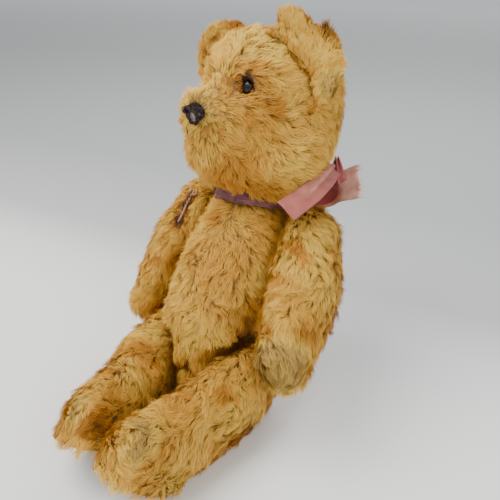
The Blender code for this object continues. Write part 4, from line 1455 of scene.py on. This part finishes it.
def loose_silk(bm, weave, tone_with_painted_light, rows, faded, folds, ragged=0.0):
    """A loose stretch of silk. folds gives the lift in mm and the shift of tone at a share along and
    across, which is mostly painted light on the folds.
    """
    smooth = flow([(*place, *side, wide) for place, side, wide in rows], STRIP_STEPS)
    places = [Vector(row[:3]) for row in smooth]
    grid, laid = [], {}
    for k, (place, way, row) in enumerate(zip(places, along(places), smooth)):
        side = square_to(way, Vector(row[3:6]))
        facing = side.cross(way)
        share = k / (len(smooth) - 1)
        corners = []
        for n in range(STRIP_ACROSS + 1):
            across = n / STRIP_ACROSS - 0.5
            lift, pale = folds(share, across)
            here = place + side * across * row[6]
            lift += RUMPLE_HIGH * noise.noise(here / RUMPLE_WIDE) * share
            lift += CREPE_HIGH * noise.noise(here / CREPE_WIDE)
            uneven = RAGGED_EVEN + noise.noise(Vector((n * RAGGED_STEP, 4, 2)))
            tear = ragged * soft_step(share, RAGGED_FROM, 1.0) * uneven
            corner = bm.verts.new(NECK @ ((here + facing * lift - way * float(tear)) * MM))
            corner[tone_with_painted_light] = faded * (FADE_BY_KNOT + FADE_AWAY * float(soft_step(share, *FADE_WAY))) + pale
            laid[corner] = ((across + 0.5) * SILK_WIDE, LAID_FROM + share * LAID_LONG)
            corners.append(corner)
        grid.append(corners)
    lay(bm, weave, grid, laid)
    return grid


# %% Folds of the loose stretches
TURNED_FROM, TURNED_TO, FOLD_PROUD = (0.28, 0.4), (0.62, 0.85), 3.2
CREASE_AT, CREASE_DRIFT, CREASE_WIDE, GLINT_WIDE = 0.42, 0.55, 0.08, 0.05
GLINT_PAINTED_LIGHT, FLAP_PAINTED_LIGHT, END_PALE, END_FROM = 0.34, 0.16, 0.06, 0.6
BACK_WAVE, BACK_WAVE_ACROSS, BACK_WAVE_ALONG = 1.2, 5, 3
BACK_EDGE_PALE, BACK_RIB_PALE, BACK_RIBS = 0.12, 0.06, 14
LOOP_WAVE, LOOP_RIBS, LOOP_RIB_PAINTED_LIGHT = 1.6, 9, 0.1


def front_folds(share, across):
    """The upper edge is turned over; the flap is painted paler, and the crease under it catches the light
    as a painted glint.
    """
    turned = soft_step(share, *TURNED_FROM) * (1 - soft_step(share, *TURNED_TO))
    crease = CREASE_AT - CREASE_DRIFT * share
    over = soft_step(across, crease, crease + CREASE_WIDE)
    glint = math.exp(-(((across - crease) / GLINT_WIDE) ** 2))
    pale = float(turned * (GLINT_PAINTED_LIGHT * glint + FLAP_PAINTED_LIGHT * over)) + END_PALE * (share - END_FROM)
    return float(turned * over * FOLD_PROUD), pale


def back_folds(share, across):
    """A slow wave, paler towards one edge."""
    lift = BACK_WAVE * math.sin(across * BACK_WAVE_ACROSS + share * BACK_WAVE_ALONG)
    return lift, BACK_EDGE_PALE * max(0.0, -across) + BACK_RIB_PALE * math.sin(across * BACK_RIBS)


def loop_folds(share, across):
    """Ribs along the loop, deepest halfway, with painted light and shade that follow them."""
    rib = math.cos(across * LOOP_RIBS)
    return LOOP_WAVE * rib * share * (1 - share) * 4, -LOOP_RIB_PAINTED_LIGHT * rib


# %% Ribbon
FRONT_TAIL = [
    ((28, 42, -5), (-0.5, -0.2, 0.8), 9),
    ((45, 43, 12), (-0.84, -0.3, 0.35), 15),
    ((59, 20.5, 34.5), (-0.80, 0.45, 0.40), 11),
    ((65, -1.5, 27), (-0.88, 0.12, 0.45), 14.5),
    ((65, -18, 16), (-0.92, -0.11, 0.37), 18),
    ((63, -31, 7.5), (-0.90, -0.2, 0.40), 19.5),
    ((60.5, -43, -1.5), (-0.84, -0.42, 0.40), 20),
]
BACK_TAIL = [
    ((28, 42, -5), (-0.5, -0.2, 0.8), 9),
    ((45, 47, 9), (-0.4, -0.1, 0.9), 17),
    ((57, 39, 20), (-0.3, 0.04, 0.95), 25),
    ((76, 35, 31), (-0.07, 0.21, 0.975), 31),
]
SLACK_LOOP = [
    ((50, 36, 18), (0.5, 0.8, 0.3), 9),
    ((55, 26, 34), (0.6, 0.7, 0.3), 7),
    ((57, 20, 45), (0.8, 0.5, 0.3), 3),
    ((60, 22, 38), (0.5, 0.8, 0.2), 6),
    ((62, 30, 26), (0.3, 0.9, 0.2), 10),
]
# The back end is faded, and is painted paler still as painted light for the light through its thin silk.
FADE_LOOP, FADE_FRONT, FADE_AND_PAINTED_LIGHT_BACK, BACK_RAGGED = 0.36, 0.44, 0.88, 3.5

bm, weave, tone_with_painted_light = silk_mesh()
pleated_band(bm, weave, tone_with_painted_light)
loose_silk(bm, weave, tone_with_painted_light, FRONT_TAIL, FADE_FRONT, front_folds)
back_grid = loose_silk(bm, weave, tone_with_painted_light, BACK_TAIL, FADE_AND_PAINTED_LIGHT_BACK, back_folds, ragged=BACK_RAGGED)
loose_silk(bm, weave, tone_with_painted_light, SLACK_LOOP, FADE_LOOP, loop_folds)
frayed_from = [(corner.co.copy(), inner.co.copy()) for corner, inner in zip(back_grid[-1], back_grid[-3])]
ribbon = new_piece("neck_ribbon_silk", bm, silk, "neck_ribbon")
layer = ribbon.modifiers.new("cloth", "SOLIDIFY")
layer.thickness, layer.offset = SILK_THICK, 0
print("silk", len(ribbon.data.polygons))

# %% Knot
KNOT_RADII, KNOT_SUBDIVISIONS = (8.3, 6.8, 4.2), 4
RIDGES, RIDGE_DEEP, RIDGE_SLANT, RIDGE_BENDS, RIDGE_BENT = 6.5, 0.55, 0.6, 1.4, 2
FADE_KNOT, RIDGE_PAINTED_LIGHT = 0.2, 0.12

bm, _, tone_with_painted_light = silk_mesh()
bmesh.ops.create_icosphere(bm, subdivisions=KNOT_SUBDIVISIONS, radius=1)
for v in bm.verts:
    bent = RIDGE_BENT * noise.noise(v.co * RIDGE_BENDS)
    ridge = math.sin(RIDGES * (v.co.x + RIDGE_SLANT * v.co.z) + bent)
    out = v.co.copy()
    place = Vector(KNOT_AT) + Vector([a * b for a, b in zip(out, KNOT_RADII)]) + out * ridge * RIDGE_DEEP
    v.co = NECK @ (place * MM)
    # The knot's ridges are painted paler and its grooves darker: painted light and shade.
    v[tone_with_painted_light] = FADE_KNOT + RIDGE_PAINTED_LIGHT * ridge
knot = new_piece("neck_ribbon_knot", bm, silk, "neck_ribbon")
print("knot", len(knot.data.polygons))

# %% Frayed threads
FRAY_THREADS, FRAY_LONG, FRAY_RADIUS = 46, (1.5, 5.5), 0.14 * MM
FRAY_BENDS, FRAY_WANDER, FRAY_ROOT = 3, 0.22, 1.5
FADE_FRAY, LAST_CORNER = 0.95, STRIP_ACROSS - 0.01

dice = np.random.default_rng(12)
bm, _, tone_with_painted_light = silk_mesh()
for _ in range(FRAY_THREADS):
    k = dice.uniform(0, LAST_CORNER)
    (corner, inner), (after, _) = frayed_from[int(k)], frayed_from[int(k) + 1]
    start = corner.lerp(after, k - int(k))
    way = (corner - inner).normalized()
    places = [start - way * FRAY_ROOT * MM]
    long = dice.uniform(*FRAY_LONG) * MM
    for step in range(FRAY_BENDS):
        way = (way + Vector(dice.normal(0, FRAY_WANDER, 3))).normalized()
        places.append(places[-1] + way * (long / FRAY_BENDS + (FRAY_ROOT * MM if step == 0 else 0)))
    add_thread(bm, places, FRAY_RADIUS)
for v in bm.verts:
    v[tone_with_painted_light] = FADE_FRAY
threads = new_piece("neck_ribbon_fray", bm, silk, "neck_ribbon")
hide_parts("neck_ribbon")
print("threads", len(threads.data.polygons))

# %% [markdown]
# The joints' discs, washers and pins are hidden in the stuffing. New ones could be made with
# rounder edges, but no one sees them unless the bear is opened, so they keep their solids and
# only get the look of pressed card and old steel.

# %% Card and steel
CARD_TONES = [(0.3, (0.24, 0.16, 0.09)), (0.7, (0.42, 0.30, 0.18))]
STEEL_TONES = [(0.45, (0.42, 0.40, 0.37)), (0.62, (0.22, 0.12, 0.07))]

card, tree, shader = start_finish("pressed_card", roughness=0.9)
ramp, grain = mottled(tree, scale=300, detail=5, stops=CARD_TONES)
tree.links.new(ramp.outputs["Color"], shader.inputs["Base Color"])
raised(tree, shader, grain.outputs["Fac"], strength=0.3, distance=0.0003)
steel, tree, shader = start_finish("old_steel", roughness=0.45, metallic=1.0)
ramp, grain = mottled(tree, scale=220, detail=6, stops=STEEL_TONES)
tree.links.new(ramp.outputs["Color"], shader.inputs["Base Color"])
raised(tree, shader, grain.outputs["Fac"], strength=0.2, distance=0.0002)
hardware = [node for node in frame["nodes"] if node.endswith(("_disc", "_washer", "_pin"))]
for node in hardware:
    solid = frame["nodes"][node]
    solid.data.materials.clear()
    solid.data.materials.append(card if node.endswith("_disc") else steel)
print("joint hardware", len(hardware))
